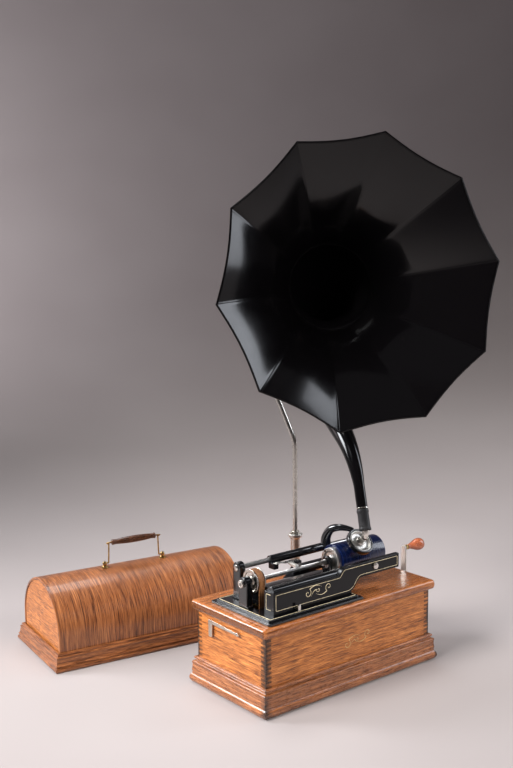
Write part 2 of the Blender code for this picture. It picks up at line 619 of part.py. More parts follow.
def build_governor_weights():
    """Three weights on bowed spring blades between two collars that ride on the spindle."""
    bore = ARBOR_R + GAP
    pieces = []
    for x in (-0.090, -0.056):
        collar = [(0.0050, x), (0.0050, x + 0.004), (bore, x + 0.004), (bore, x)]
        pieces.append(turned("collar", collar, along_x(0, *GOVERNOR), BRASS, 10, True))
    for i in range(3):
        turn = Matrix.Rotation(2 * pi * i / 3, 4, "X")
        route = [(-0.088, 0, 0.0042), (-0.080, 0, 0.0092), (-0.062, 0, 0.0092), (-0.054, 0, 0.0042)]
        route = [Vector((0, *GOVERNOR)) + turn @ Vector(p) for p in route]
        pieces.append(wire("blade", route, 0.0009, BRASS, resolution=1))
        middle = Vector((-0.071, *GOVERNOR)) + turn @ Vector((0, 0, 0.0100))
        reach = Vector((0.003, 0, 0))
        pieces.append(rod("weight", middle - reach, middle + reach, 0.0036, BRASS, 8))
    first, *others = pieces
    first.name = "governor_weights"
    return joined(first, *[others[i] for i in (1, 3, 5, 0, 2, 4, 6)])


# ------------------------------------------------------------------ crank

def build_crank():
    centre = (CRANK_Y, CRANK_Z)
    shaft = joined(x_rod("winding_shaft", -0.0160, CRANK_X - GAP, centre, 0.0040, STEEL, 16),
                   gear("pinion", 10, -0.0150, -0.0070, centre, STEEL))
    knob_z = CRANK_Z + CRANK_L
    knob_end = arc(CRANK_Y, knob_z, 0.0052, 0.0052, 0, 180, 8)
    shaft_end = arc(CRANK_Y, CRANK_Z, 0.0080, 0.0080, 180, 360, 10)
    arm = plate("crank_arm", [knob_end + shaft_end], 0.004, along_x(CRANK_X + 0.002, 0, 0), NICKEL)
    arm = joined(arm, x_rod("hub", CRANK_X + 0.002, CRANK_X + 0.0085, centre, 0.0068, NICKEL, 16))
    face = CRANK_X + 0.004
    pin = [(0, face + GAP), (0.0048, face + GAP), (0.0048, face + 0.0070), (0.0020, face + 0.0072),
           (0.0020, face + 0.0495), (0, face + 0.0495)]
    pin = turned("knob_pin", pin, along_x(0, CRANK_Y, knob_z), NICKEL, 16)
    pivot("crank_axis", (0, CRANK_Y, CRANK_Z), [shaft, arm, pin])
    start = face + 0.0078
    outer = [(0.0046, 0), (0.0050, 0.003), (0.0058, 0.008), (0.0080, 0.015), (0.0105, 0.022),
             (0.0119, 0.029), (0.0115, 0.035), (0.0088, 0.0395), (0.0050, 0.0412)]
    profile = [(r, start + h) for r, h in outer] + [(0.0023, start + 0.0412), (0.0023, start)]
    knob = turned("crank_knob", profile, along_x(0, CRANK_Y, knob_z), HARDWOOD, 16, True)
    pivot("crank_knob_axis", (start, CRANK_Y, knob_z), [knob])


# ------------------------------------------------------------------ carriage and reproducer

def build_carriage():
    bore = ROD_R + GAP
    sleeve = [(SLEEVE_R, SLEEVE_X0), (SLEEVE_R, SLEEVE_X1), (bore, SLEEVE_X1), (bore, SLEEVE_X0)]
    sleeve = turned("carriage_arm", sleeve, along_x(0, ROD_Y, ROD_Z), JAPAN, 16, True)
    route = rounded([(0.050, 0.0270, 0.2250), (0.050, 0.0255, 0.2400), (0.0515, 0.0150, 0.2545),
                     (0.0555, -0.0030, 0.2605), (0.0620, -0.0150, 0.2608), (0.0670, -0.0220, 0.2590)], 3)
    sizes = [1.9 - min(1, i / (len(route) - 5)) for i in range(len(route))]
    arch = wire("arch", route, 0.0052, JAPAN, sizes)
    ring = [(EYE_RING_R - 0.001, 0.0045), (EYE_RING_R, 0.0035), (EYE_RING_R, -0.0045),
            (EYE_R + GAP, -0.0045), (EYE_R + GAP, 0.0045)]
    ring = turned("ring", ring, along(EYE, EYE_AXIS), JAPAN, 24, True)
    block = box("block", -0.0900, -0.0790, 0.0120, 0.0255, 0.2060, 0.2172, JAPAN)
    arm = joined(arch, sleeve, ring, block)
    arm.name = "carriage_arm"

    strip = [(-0.0895, 0.2175), (-0.0760, 0.2175), (-0.0690, 0.2150), (-0.0345, 0.2150),
             (-0.0345, 0.2162), (-0.0688, 0.2162), (-0.0758, 0.2187), (-0.0895, 0.2187)]
    facing = Matrix.Translation((0, 0.0095, 0)) @ FACING_FRONT
    spring = plate("half_nut_spring", [strip], 0.009, facing, NICKEL)
    nut = [(-0.0142, 0.2090), (-0.0075, 0.2090), (0.0055, 0.2110), (0.0135, 0.2147), (0.0055, 0.2147),
           (-0.0120, 0.2125)]
    nut = plate("half_nut", [nut], 0.007, along_x(-0.0560, 0, 0), BRASS)

    body = [(0, 0.0030), (0.0060, 0.0022), (0.0150, 0.0016), (0.0185, 0.0030), (0.0215, 0.0030),
            (EYE_R, 0.0020), (EYE_R, -0.0070), (0, -0.0070)]
    disc = turned("reproducer", body, along(EYE, EYE_AXIS), NICKEL, 24)
    outlet = Vector((HORN_X, HORN_Y, HORN_Z))
    stem = horn_direction(STEM_TILT)
    elbow = [EYE, EYE + EYE_AXIS * 0.008, (0.0702, -0.0545, 0.2515), outlet, outlet + stem * 0.008]
    elbow = wire("elbow", rounded(elbow, 3), 0.0062, NICKEL)
    reproducer = joined(disc, elbow)
    under = EYE - EYE_AXIS * 0.0073
    side = EYE_AXIS.cross(Vector((1, 0, 0)))
    weight = [(0, 0.0042), (0.0130, 0.0042), (0.0150, 0.0030), (0.0150, 0), (0, 0)]
    weight = turned("stylus_weight", weight, along(under, -EYE_AXIS), NICKEL, 16)
    stylus = rod("stylus", under - EYE_AXIS * 0.003, under - EYE_AXIS * 0.0115, 0.0012, NICKEL, 10)
    weight = joined(weight, stylus)
    pivot("weight_hinge", under + side * 0.015, [weight])
    pivot("carriage_slide", (0, ROD_Y, ROD_Z), [arm, spring, nut, reproducer])


# ------------------------------------------------------------------ horn

BEND_L = BEND_R * (NECK_TILT - STEM_TILT)
SWAN_L = SWAN_R * (NECK_TILT - MOUTH_TILT)
HORN_L = STEM_L + BEND_L + NECK_L + SWAN_L + BELL_L
BELL_S = HORN_L - BELL_L
TAPER_S, TAPER = 0.085, 0.0775
FLARE_S, FLARE_POWER = HORN_L - 0.300, 2.2


def horn_direction(tilt):
    return HORN_BACK * sin(tilt) + Vector((0, 0, cos(tilt)))


def horn_axis(s):
    """The centre line at a length s from the small end: a point and its tilt from upright, backwards."""
    origin = Vector((HORN_X, HORN_Y, HORN_Z))
    steps = ((STEM_L, STEM_TILT, STEM_TILT), (BEND_L, STEM_TILT, NECK_TILT), (NECK_L, NECK_TILT, NECK_TILT),
             (SWAN_L, NECK_TILT, MOUTH_TILT), (BELL_L, MOUTH_TILT, MOUTH_TILT))
    for length, start, end in steps:
        part = min(s, length)
        tilt = start + (end - start) * part / length
        if start == end:
            origin = origin + horn_direction(start) * part
        else:
            radius = length / (end - start)
            move = HORN_BACK * (cos(start) - cos(tilt)) + Vector((0, 0, sin(tilt) - sin(start)))
            origin = origin + radius * move
        s -= part
        if s <= 0:
            break
    return origin, tilt


def horn_radius(s):
    flare = max(0.0, (s - FLARE_S) / (HORN_L - FLARE_S)) ** FLARE_POWER
    cone = PIPE_R + TAPER * max(0.0, s - TAPER_S)
    rim_flare = BELL_R - PIPE_R - TAPER * (HORN_L - TAPER_S)
    return cone + rim_flare * flare


def horn_section(s, sides, panelled):
    """A ring of points across the horn. Panelled rings are hollowed between the seams towards the mouth."""
    centre, tilt = horn_axis(s)
    up = Vector((0, 0, sin(tilt))) - HORN_BACK * cos(tilt)
    points = []
    for i in range(sides):
        a = PANEL_PHASE + 2 * pi * i / sides
        radius = horn_radius(s)
        if panelled:
            across = ((i * PANELS / sides) % 1) * 2 - 1
            radius *= 1 - 0.072 * (1 - across ** 2) * min(1, (s - BELL_S) / (0.45 * BELL_L))
        points.append(centre + HORN_SIDE * (radius * cos(a)) + up * (radius * sin(a)))
    return points


def horn_shell(name, stations, sides, panelled, mat):
    """A loft through the rings, thickened inwards to sheet metal."""
    bm = bmesh.new()
    rings = [[bm.verts.new(p) for p in horn_section(s, sides, panelled)] for s in stations]
    for lower, upper in zip(rings, rings[1:]):
        for i in range(sides):
            j = (i + 1) % sides
            bm.faces.new((lower[i], lower[j], upper[j], upper[i]))
    obj = from_bmesh(bm, name, mat)
    solid = obj.modifiers.new("sheet", "SOLIDIFY")
    solid.thickness = SHEET_T
    solid.offset = -1
    return smooth(baked(obj), 14 if panelled else 40)


def build_horn():
    bell_stations = [BELL_S + GAP + (BELL_L - GAP) * (i / 8) ** 0.9 for i in range(9)]
    bell = horn_shell("horn_bell", bell_stations, 3 * PANELS, True, JAPAN)
    start, end = CONNECTOR_L + GAP, BELL_S - GAP
    neck_stations = [start + (end - start) * (i / 14) for i in range(15)]
    neck = horn_shell("horn_neck", neck_stations, 12, False, JAPAN)
    tube = [(0.0108, 0.0018), (0.0112, 0.0035), (0.0105, 0.0060), (0.0103, CONNECTOR_L),
            (0.0078, CONNECTOR_L), (0.0078, 0.0012), (0.0104, 0.0012)]
    outlet = Vector((HORN_X, HORN_Y, HORN_Z))
    connector = turned("horn_connector", tube, along(outlet, horn_direction(STEM_TILT)), RUBBER, 16, True)
    hanger, spring = build_hanger()
    pivot("horn_swivel", outlet, [bell, neck, connector, hanger, spring])


def build_hanger():
    """An eye on top of the swan neck, and the wire spring that hangs it from the crane's bar."""
    turn = NECK_TILT - radians(-60)
    seat_s = STEM_L + BEND_L + NECK_L + SWAN_R * turn

    def seat(s):
        centre, tilt = horn_axis(s)
        out = HORN_BACK * cos(tilt) - Vector((0, 0, sin(tilt)))
        return centre + out * (horn_radius(s) + 0.0008)
    foot = seat(seat_s) + Vector((0, 0, 0.0045))
    ends = [seat(seat_s + ds) - foot for ds in (0.007, -0.005)]
    base = [(end.dot(HORN_BACK), end.z) for end in ends]
    spot = Matrix.Translation(foot) @ Matrix((HORN_BACK, (0, 0, 1), HORN_SIDE)).transposed().to_4x4()
    eye = [*base, *arc(0, 0.009, 0.0065, 0.0065, -10, 190, 8)]
    hanger = plate("horn_hanger", [eye, circle(0, 0.009, 0.0035, 10)], 0.003, spot, JAPAN)
    hole = foot + Vector((0, 0, 0.009))

    thickness, coil_r, turns, steps = 0.0011, 0.0055, 4, 7
    coil_z0, coil_z1 = hole.z + 0.020, BAR_Z - 0.034
    hook = [(0.0045, 0.0085), (0.0050, 0.0015), (0.0030, -0.0012), (0, -0.0018), (-0.0030, -0.0010),
            (-0.0050, 0.0020), (-0.0045, 0.0090)]
    route = [hole + HORN_SIDE * u + Vector((0, 0, v)) for u, v in hook]
    middle = hole.copy()
    for i in range(turns * steps + 1):
        a = pi + 2 * pi * i / steps
        height = coil_z0 + (coil_z1 - coil_z0) * i / (turns * steps)
        route.append(Vector((middle.x + coil_r * cos(a), middle.y + coil_r * sin(a), height)))
    y, top, width = BAR_Y, BAR_Z + 0.0047 + 0.0016, 0.0150
    stirrup = ((-0.004, coil_z1 + 0.004), (-width, BAR_Z - 0.022), (-width, top - 0.003),
               (-width + 0.003, top), (width - 0.003, top), (width, top - 0.003), (width, BAR_Z - 0.022),
               (0.006, BAR_Z - 0.027))
    route += [Vector((middle.x, y + dy, z)) for dy, z in stirrup]
    spring = wire("suspension_spring", route, thickness, STEEL)
    return hanger, spring


# ------------------------------------------------------------------ crane

def build_crane():
    """A nickel rod that rises behind the case, cranks round the bell and ends in a level bar along X."""
    def at(p, q, z):
        return Vector((HORN_X, HORN_Y, z)) + HORN_SIDE * p + HORN_BACK * q
    base = Vector((CRANE_X, CRANE_Y, 0))
    corner = at(-0.150, 0.235, 0.600)
    route = [base + Vector((0, 0, z)) for z in (0.084, 0.150, 0.229, 0.300, 0.385, 0.400)]
    slant = [base + Vector((0, 0, 0.410))]
    for share, z in ((0.04, 0.417), (0.5, 0.510)):
        point = base.lerp(corner, share)
        point.z = z
        slant.append(point)
    slant += [corner + Vector((0, 0, -0.010)), corner + Vector((0, 0, 0.020))]
    route += rounded(slant, 3)
    top = corner.copy()
    top.z = 0.780
    over = [top, top + Vector((0.003, -0.003, 0.035)), Vector((top.x + 0.022, BAR_Y + 0.008, BAR_Z - 0.004)),
            Vector((top.x + 0.055, BAR_Y, BAR_Z))]
    route += rounded(over, 3)
    route += [Vector((x, BAR_Y, BAR_Z)) for x in (0.120, 0.190, BAR_X1 - 0.006)]
    route += [Vector((BAR_X1, BAR_Y, BAR_Z + 0.003)), Vector((BAR_X1 + 0.002, BAR_Y, BAR_Z + 0.012))]
    crane = wire("crane_rod", route, CRANE_ROD_R, NICKEL)
    z = SOCKET_TOP + 0.006 + GAP
    bore = CRANE_ROD_R + 0.00015
    ring = [(0.0080, z), (0.0080, z + 0.0050), (bore, z + 0.0050), (bore, z)]
    ring = turned("crane_collar", ring, Matrix.Translation((CRANE_X, CRANE_Y, 0)), NICKEL, 20, True)
    screw = x_rod("screw", CRANE_X - 0.0115, CRANE_X - 0.0065, (CRANE_Y, z + 0.0025), 0.0016, NICKEL, 10)
    pivot("crane_swivel", (CRANE_X, CRANE_Y, SOCKET_TOP), [crane, joined(ring, screw)])


# ------------------------------------------------------------------ lid

def dome(half, side_z, top_z, low_z, steps=14):
    """Half-round-topped outline, anticlockwise from the foot on the right."""
    return [(half, low_z), *arc(0, side_z, half, top_z - side_z, 0, 180, steps), (-half, low_z)]


def lid_frame():
    """The lid's moulded foot: a profile turned in four steps and drawn out lengthwise."""
    out = LID_HY
    inner = LID_SHELL_Y + GAP
    profile = [(inner, 0.0340), (out - 0.0062, 0.0340), (out - 0.0046, 0.0325), (out - 0.0046, 0.0300),
               (out - 0.0060, 0.0270), (out - 0.0030, 0.0150), (out - 0.0030, 0.0110), (out, 0.0080),
               (out, 0.0025), (out - 0.0020, 0), (inner - 0.0080, 0), (inner - 0.0080, 0.0040),
               (inner, 0.0040)]
    mesh = bpy.data.meshes.new("lid_moulding")
    count = len(profile)
    root = 2 ** 0.5
    mesh.from_pydata([(r, r, h) for r, h in profile], [(i, (i + 1) % count) for i in range(count)], [])
    frame = finish(bpy.data.objects.new("lid_moulding", mesh), "lid_moulding", LID_OAK)
    screw = frame.modifiers.new("four sides", "SCREW")
    screw.steps = screw.render_steps = 4
    screw.use_merge_vertices = True
    screw.merge_threshold = 0.00001
    frame = baked(frame)
    for vert in frame.data.vertices:
        vert.co.x += (LID_HX - LID_HY) * (1 if vert.co.x > 0 else -1)
    return smooth(frame, 30)


def build_lid():
    frame = lid_frame()
    low = 0.0043
    outer = dome(LID_SHELL_Y, LID_SIDE_Z, LID_TOP_Z, low)
    inner = dome(LID_SHELL_Y - LID_SHELL_T, LID_SIDE_Z, LID_TOP_Z - LID_SHELL_T, low)
    shell = smooth(plate("lid_shell", [outer + inner[::-1]], 2 * LID_SHELL_X, along_x(0, 0, 0), LID_OAK), 30)
    panel = dome(LID_SHELL_Y - LID_SHELL_T - GAP, LID_SIDE_Z, LID_TOP_Z - LID_SHELL_T - GAP, low)
    ends = [plate(name, [panel], 0.007, along_x(side * (LID_SHELL_X - 0.0050), 0, 0), LID_OAK)
            for name, side in (("lid_end_left", -1), ("lid_end_right", 1))]
    feet = []
    turned_foot = [(0, 0.0125), (0.0040, 0.0115), (0.0046, 0.0080), (0.0035, 0.0045), (0.0070, 0.0025),
                   (0.0070, 0), (0, 0)]
    for name, side in (("handle_foot_left", -1), ("handle_foot_right", 1)):
        spot = Matrix.Translation((side * FOOT_X, 0, LID_TOP_Z + GAP))
        feet.append(turned(name, turned_foot, spot, BRASS, 16))
    pin = FOOT_X - 0.0050
    half_bail = ((0, HANDLE_Z), (0.0015, HANDLE_Z), (0.0028, HANDLE_Z + 0.003), (0.0040, GRIP_Z - 0.012),
                 (0.0045, GRIP_Z - 0.003), (0.0075, GRIP_Z))
    left = [(-pin + inset, 0, z) for inset, z in half_bail]
    right = [(-x, y, z) for x, y, z in reversed(left)]
    bail = wire("lid_bail", rounded([*left, (0, 0, GRIP_Z), *right], 2), 0.0015, BRASS)
    bore, half = 0.0015 + GAP, GRIP_X - 0.0055
    swell = [(0.0050, -half), (0.0058, -half + 0.002), (0.0052, -half + 0.005), (0.0070, 0),
             (0.0052, half - 0.005), (0.0058, half - 0.002), (0.0050, half)]
    grip = turned("lid_grip", swell + [(bore, half), (bore, -half)], along_x(0, 0, GRIP_Z), HARDWOOD, 18, True)
    turn = Matrix.Translation((LID_X, LID_Y, 0)) @ Matrix.Rotation(LID_YAW, 4, "Z")
    for piece in (frame, shell, *ends, *feet, bail, grip):
        piece.matrix_world = turn @ piece.matrix_world
    bpy.context.view_layer.update()
    pivot("lid_lift", (LID_X, LID_Y, 0), [frame, shell, *ends, *feet])
    pivot("lid_handle_hinge", (LID_X, LID_Y, HANDLE_Z), [bail, grip])


build_case()
build_bedplate()
build_bearings()
build_brake_lever()
build_mandrel()
build_belt()
build_motor()
build_crank()
build_carriage()
build_horn()
build_crane()
build_lid()
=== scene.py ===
from math import cos, pi, radians, sin

import bmesh
import bpy
from mathutils import Matrix, Vector


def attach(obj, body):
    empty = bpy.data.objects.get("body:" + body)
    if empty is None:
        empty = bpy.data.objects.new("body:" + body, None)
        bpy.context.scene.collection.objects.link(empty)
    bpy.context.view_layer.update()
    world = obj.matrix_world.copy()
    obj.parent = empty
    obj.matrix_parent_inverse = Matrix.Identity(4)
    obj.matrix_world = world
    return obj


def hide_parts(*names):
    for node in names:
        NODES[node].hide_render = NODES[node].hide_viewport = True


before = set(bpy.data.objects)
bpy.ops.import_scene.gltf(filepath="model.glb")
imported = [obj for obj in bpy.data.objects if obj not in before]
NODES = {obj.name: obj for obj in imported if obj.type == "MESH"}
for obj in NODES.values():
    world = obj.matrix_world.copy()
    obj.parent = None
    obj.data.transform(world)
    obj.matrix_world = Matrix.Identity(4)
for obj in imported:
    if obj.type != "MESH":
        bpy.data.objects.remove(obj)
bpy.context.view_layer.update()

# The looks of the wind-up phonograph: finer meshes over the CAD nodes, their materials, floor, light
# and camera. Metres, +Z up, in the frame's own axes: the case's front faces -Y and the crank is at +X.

SCENE = bpy.context.scene

# Case
WALL_X, WALL_Y = 0.1977, 0.0958
MOULDING_TOP = 0.0489
MITRE_GAP = 0.00012
SCROLL_FLATNESS = 0.28
DECK_NOSE = 0.0072
DECK_X, DECK_Y, DECK_Z0, DECK_Z1 = 0.2077, 0.1058, 0.1367, 0.1547
DECK_OPENING = (-0.172, 0.018, -0.072, 0.058)

# Mechanism
BED_X0, BED_X1, BED_Y0, BED_Y1, BED_Z0, BED_Z1 = -0.191, 0.027, -0.098, 0.065, 0.155, 0.1625
PANEL_X0, PANEL_X1, PANEL_Y0, PANEL_Y1, BOX_Y1, PANEL_TOP = -0.166, 0.0135, -0.080, -0.070, -0.053, 0.2025
RAIL_X1, RAIL_Z0, RAIL_Z1 = 0.134, 0.1885, 0.2145
PLATFORM_X0, PLATFORM_Y1, PLATFORM_Z = -0.134, 0.020, 0.178
BELT_SLOT = (-0.1635, -0.1375, -0.0335, 0.0145)
PANEL_Z0, FOOT_TOP, STEP_Z0 = 0.1610, 0.1592, 0.1585
BRAKE_X, BRAKE_Y, BRAKE_Z0, BRAKE_Z1, BRAKE_PIN_TOP = -0.1160, -0.0665, 0.1652, 0.1682, 0.1980
MANDREL_Y, MANDREL_Z = -0.010, 0.205
SCREW_X0, SCREW_X1, SCREW_R, SHAFT_BORE = -0.1790, 0.1330, 0.0040, 0.0043
THREAD_X0, THREAD_PITCH, THREAD_ROOT, THREAD_TURNS = -0.1330, 0.0016, 0.0036, 82
MANDREL_X0, MANDREL_X1, MANDREL_WALL_R, MANDREL_BOSS_R = 0.0262, 0.1395, 0.0195, 0.0075
RECORD_X0, RECORD_X1, RECORD_R, RECORD_BORE = 0.0335, 0.1415, 0.0286, 0.0236
PULLEY_X0, PULLEY_X1, PULLEY_R, PULLEY_FLANGE = -0.1605, -0.1425, 0.019, 0.0024
BELT_T, BELT_WIDTH = 0.0016, 0.012
DRIVE_Y, DRIVE_Z = -0.010, 0.1142
ROD_Y, ROD_Z, ROD_X0, ROD_L, ROD_R, ROD_BORE = 0.030, 0.2195, -0.1605, 0.2970, 0.0045, 0.0047
SHAFT_POST_X = (-0.1775, -0.1635)
ROD_POST_X = (-0.1600, -0.1470)
CENTRE_BEARING_X = (0.0145, 0.0235)
REAR_ARM_Y, REAR_ARM_T, REAR_ARM_X1, REAR_ARM_TOP, REAR_ARM_HORN_X = 0.043, 0.018, 0.140, 0.2260, 0.129
SLEEVE_X0, SLEEVE_X1, SLEEVE_R, SLEEVE_BORE = -0.085, 0.057, 0.0078, 0.0048
ARCH_R = 0.0052
NUT_X, NUT_T, LEAF_Y = -0.0560, 0.0074, 0.0095
EYE = Vector((0.070, -0.043, 0.240))
EYE_AXIS = Vector((0, -0.70, 0.714)).normalized()
EYE_R = 0.0225
ELBOW_R = 0.0062

# Horn
HORN = Vector((0.071, -0.056, 0.262))
HORN_BACK = Vector((0.3926, 0.9197, 0))
HORN_SIDE = Vector((0.9197, -0.3926, 0))
STEM_TILT, NECK_TILT, MOUTH_TILT = radians(22.5), radians(62), radians(-85)
STEM_L, BEND_R, NECK_L, SWAN_R, BELL_L = 0.0745, 0.170, 0.140, 0.115, 0.170
PIPE_R, BELL_R = 0.0103, 0.274
PANELS, PANEL_PHASE = 10, radians(28.93)
CONNECTOR_L = 0.040
RIM_R = 0.0016
HANGER_TILT, HANGER_EYE_Z, HANGER_T = radians(-60), 0.009, 0.003
COIL_R, COIL_TURNS, COIL_WIRE_R = 0.0055, 6, 0.0011
HORN_L = STEM_L + BEND_R * (NECK_TILT - STEM_TILT) + NECK_L + SWAN_R * (NECK_TILT - MOUTH_TILT) + BELL_L
BELL_S = HORN_L - BELL_L
TAPER_S, TAPER = 0.085, 0.0775
FLARE_S, FLARE_POWER = HORN_L - 0.300, 2.2
SHEET_T, JOINT_GAP = 0.0008, 0.0003
# Where points lie across one panel, from seam to seam, close together at the seams
PANEL_STEPS = (-1, -0.985, -0.965, -0.93, -0.80, -0.60, -0.38, -0.13, 0.13, 0.38, 0.60, 0.80, 0.93, 0.965,
               0.985)

# Crane, crank and lid
CRANE_X, CRANE_Y, CRANE_ROD_R, SOCKET_TOP = 0.0515, 0.1165, 0.0047, 0.219
BAR_Y, BAR_Z, BAR_X1 = 0.189, 0.840, 0.262
CRANK_Y, CRANK_Z, CRANK_L, CRANK_X, CRANK_T = -0.010, 0.106, 0.086, 0.2195, 0.004
KNOB_PIN_R, KNOB_L = 0.0020, 0.0410
LID_SHELL_X, LID_SHELL_Y = 0.198, 0.096
LID_SIDE_Z, LID_TOP_Z, LID_SHELL_T = 0.060, 0.150, 0.0045
LID_END_T, LID_LOW = 0.007, 0.0043
HANDLE_Z, GRIP_Z, FOOT_X, GRIP_X, BAIL_R = 0.1585, 0.199, 0.063, 0.053, 0.0015
LID_PLACE = Matrix.Translation((-0.158, 0.369, 0)) @ Matrix.Rotation(radians(-7.76), 4, "Z")

# Floor, light and camera
STAGE_FLAT, STAGE_SWEEP, STAGE_TOP, STAGE_SIDES, FLOOR_Z = 0.9, 3.4, 5.5, 96, -0.0002
CAMERA_PLACE = (-1.2613, -1.4054, 0.7874)
CAMERA_YAW, CAMERA_PITCH, CAMERA_ROLL = radians(38.72), radians(-7.65), radians(-0.56)
FOCAL_LENGTH, SENSOR_HEIGHT = 50.0, 36.0
WARM, COOL, PLAIN = (1.0, 0.96, 0.92), (0.88, 0.92, 1.0), (1, 1, 1)

AXIS_X = Matrix(((0, 0, 1), (1, 0, 0), (0, 1, 0))).to_4x4()
FACING_FRONT = Matrix(((1, 0, 0), (0, 0, -1), (0, 1, 0))).to_4x4()


# ------------------------------------------------------------------ material helpers

def add(tree, kind, inputs=None, **settings):
    made = tree.nodes.new("ShaderNode" + kind)
    for key, value in settings.items():
        setattr(made, key, value)
    for key, value in (inputs or {}).items():
        if isinstance(value, bpy.types.NodeSocket):
            tree.links.new(value, made.inputs[key])
        else:
            made.inputs[key].default_value = value
    return made


def ramp(tree, factor, *stops):
    made = add(tree, "ValToRGB", {"Fac": factor})
    elements = made.color_ramp.elements
    elements.remove(elements[1])
    elements[0].position = stops[0][0]
    elements[0].color = (*stops[0][1], 1)
    for position, colour in stops[1:]:
        elements.new(position).color = (*colour, 1)
    return made.outputs["Color"]


def mask(tree, value, low, high):
    """0 below low, 1 above high. With low over high it falls instead."""
    made = add(tree, "MapRange", {"Value": value, "From Min": low, "From Max": high}, clamp=True)
    return made.outputs["Result"]


def scaled(tree, value, low, high):
    made = add(tree, "MapRange", {"Value": value, "To Min": low, "To Max": high}, clamp=True)
    return made.outputs["Result"]


def mix(tree, factor, a, b, blend="MIX"):
    made = add(tree, "Mix", data_type="RGBA", blend_type=blend)
    for index, value in ((0, factor), (6, a), (7, b)):
        if isinstance(value, bpy.types.NodeSocket):
            tree.links.new(value, made.inputs[index])
        else:
            made.inputs[index].default_value = value if index == 0 else (*value, 1)
    return made.outputs[2]


def maths(tree, operation, a, b=0.0):
    made = add(tree, "Math", {0: a, 1: b}, operation=operation)
    return made.outputs[0]


def noise(tree, vector, scale, detail=3.0, roughness=0.55, distortion=0.0):
    made = add(tree, "TexNoise", {"Vector": vector, "Scale": scale, "Detail": detail,
                                  "Roughness": roughness, "Distortion": distortion})
    return made.outputs["Fac"]


def stretch(tree, vector, scale):
    return add(tree, "Mapping", {"Vector": vector, "Scale": scale}).outputs["Vector"]


def bumped(tree, shader, height, strength, distance):
    made = add(tree, "Bump", {"Height": height, "Strength": strength, "Distance": distance})
    tree.links.new(made.outputs["Normal"], shader.inputs["Normal"])


def edges(tree, radius, low=0.93, high=0.60):
    """1 on convex and concave edges, 0 on flat stretches, from how far a rounded normal turns away."""
    rounded_normal = add(tree, "Bevel", {"Radius": radius}, samples=4).outputs["Normal"]
    plain = add(tree, "NewGeometry").outputs["Normal"]
    dot = add(tree, "VectorMath", {0: rounded_normal, 1: plain}, operation="DOT_PRODUCT").outputs["Value"]
    return mask(tree, dot, low, high)


def start(name, **values):
    made = bpy.data.materials.new(name)
    made.use_nodes = True
    tree = made.node_tree
    shader = tree.nodes["Principled BSDF"]
    for key, value in values.items():
        shader.inputs[key.replace("_", " ")].default_value = value
    coords = add(tree, "TexCoord").outputs["Object"]
    return made, tree, shader, coords


def join(tree, shader, **sockets):
    for key, socket in sockets.items():
        tree.links.new(socket, shader.inputs[key.replace("_", " ")])


# ------------------------------------------------------------------ materials

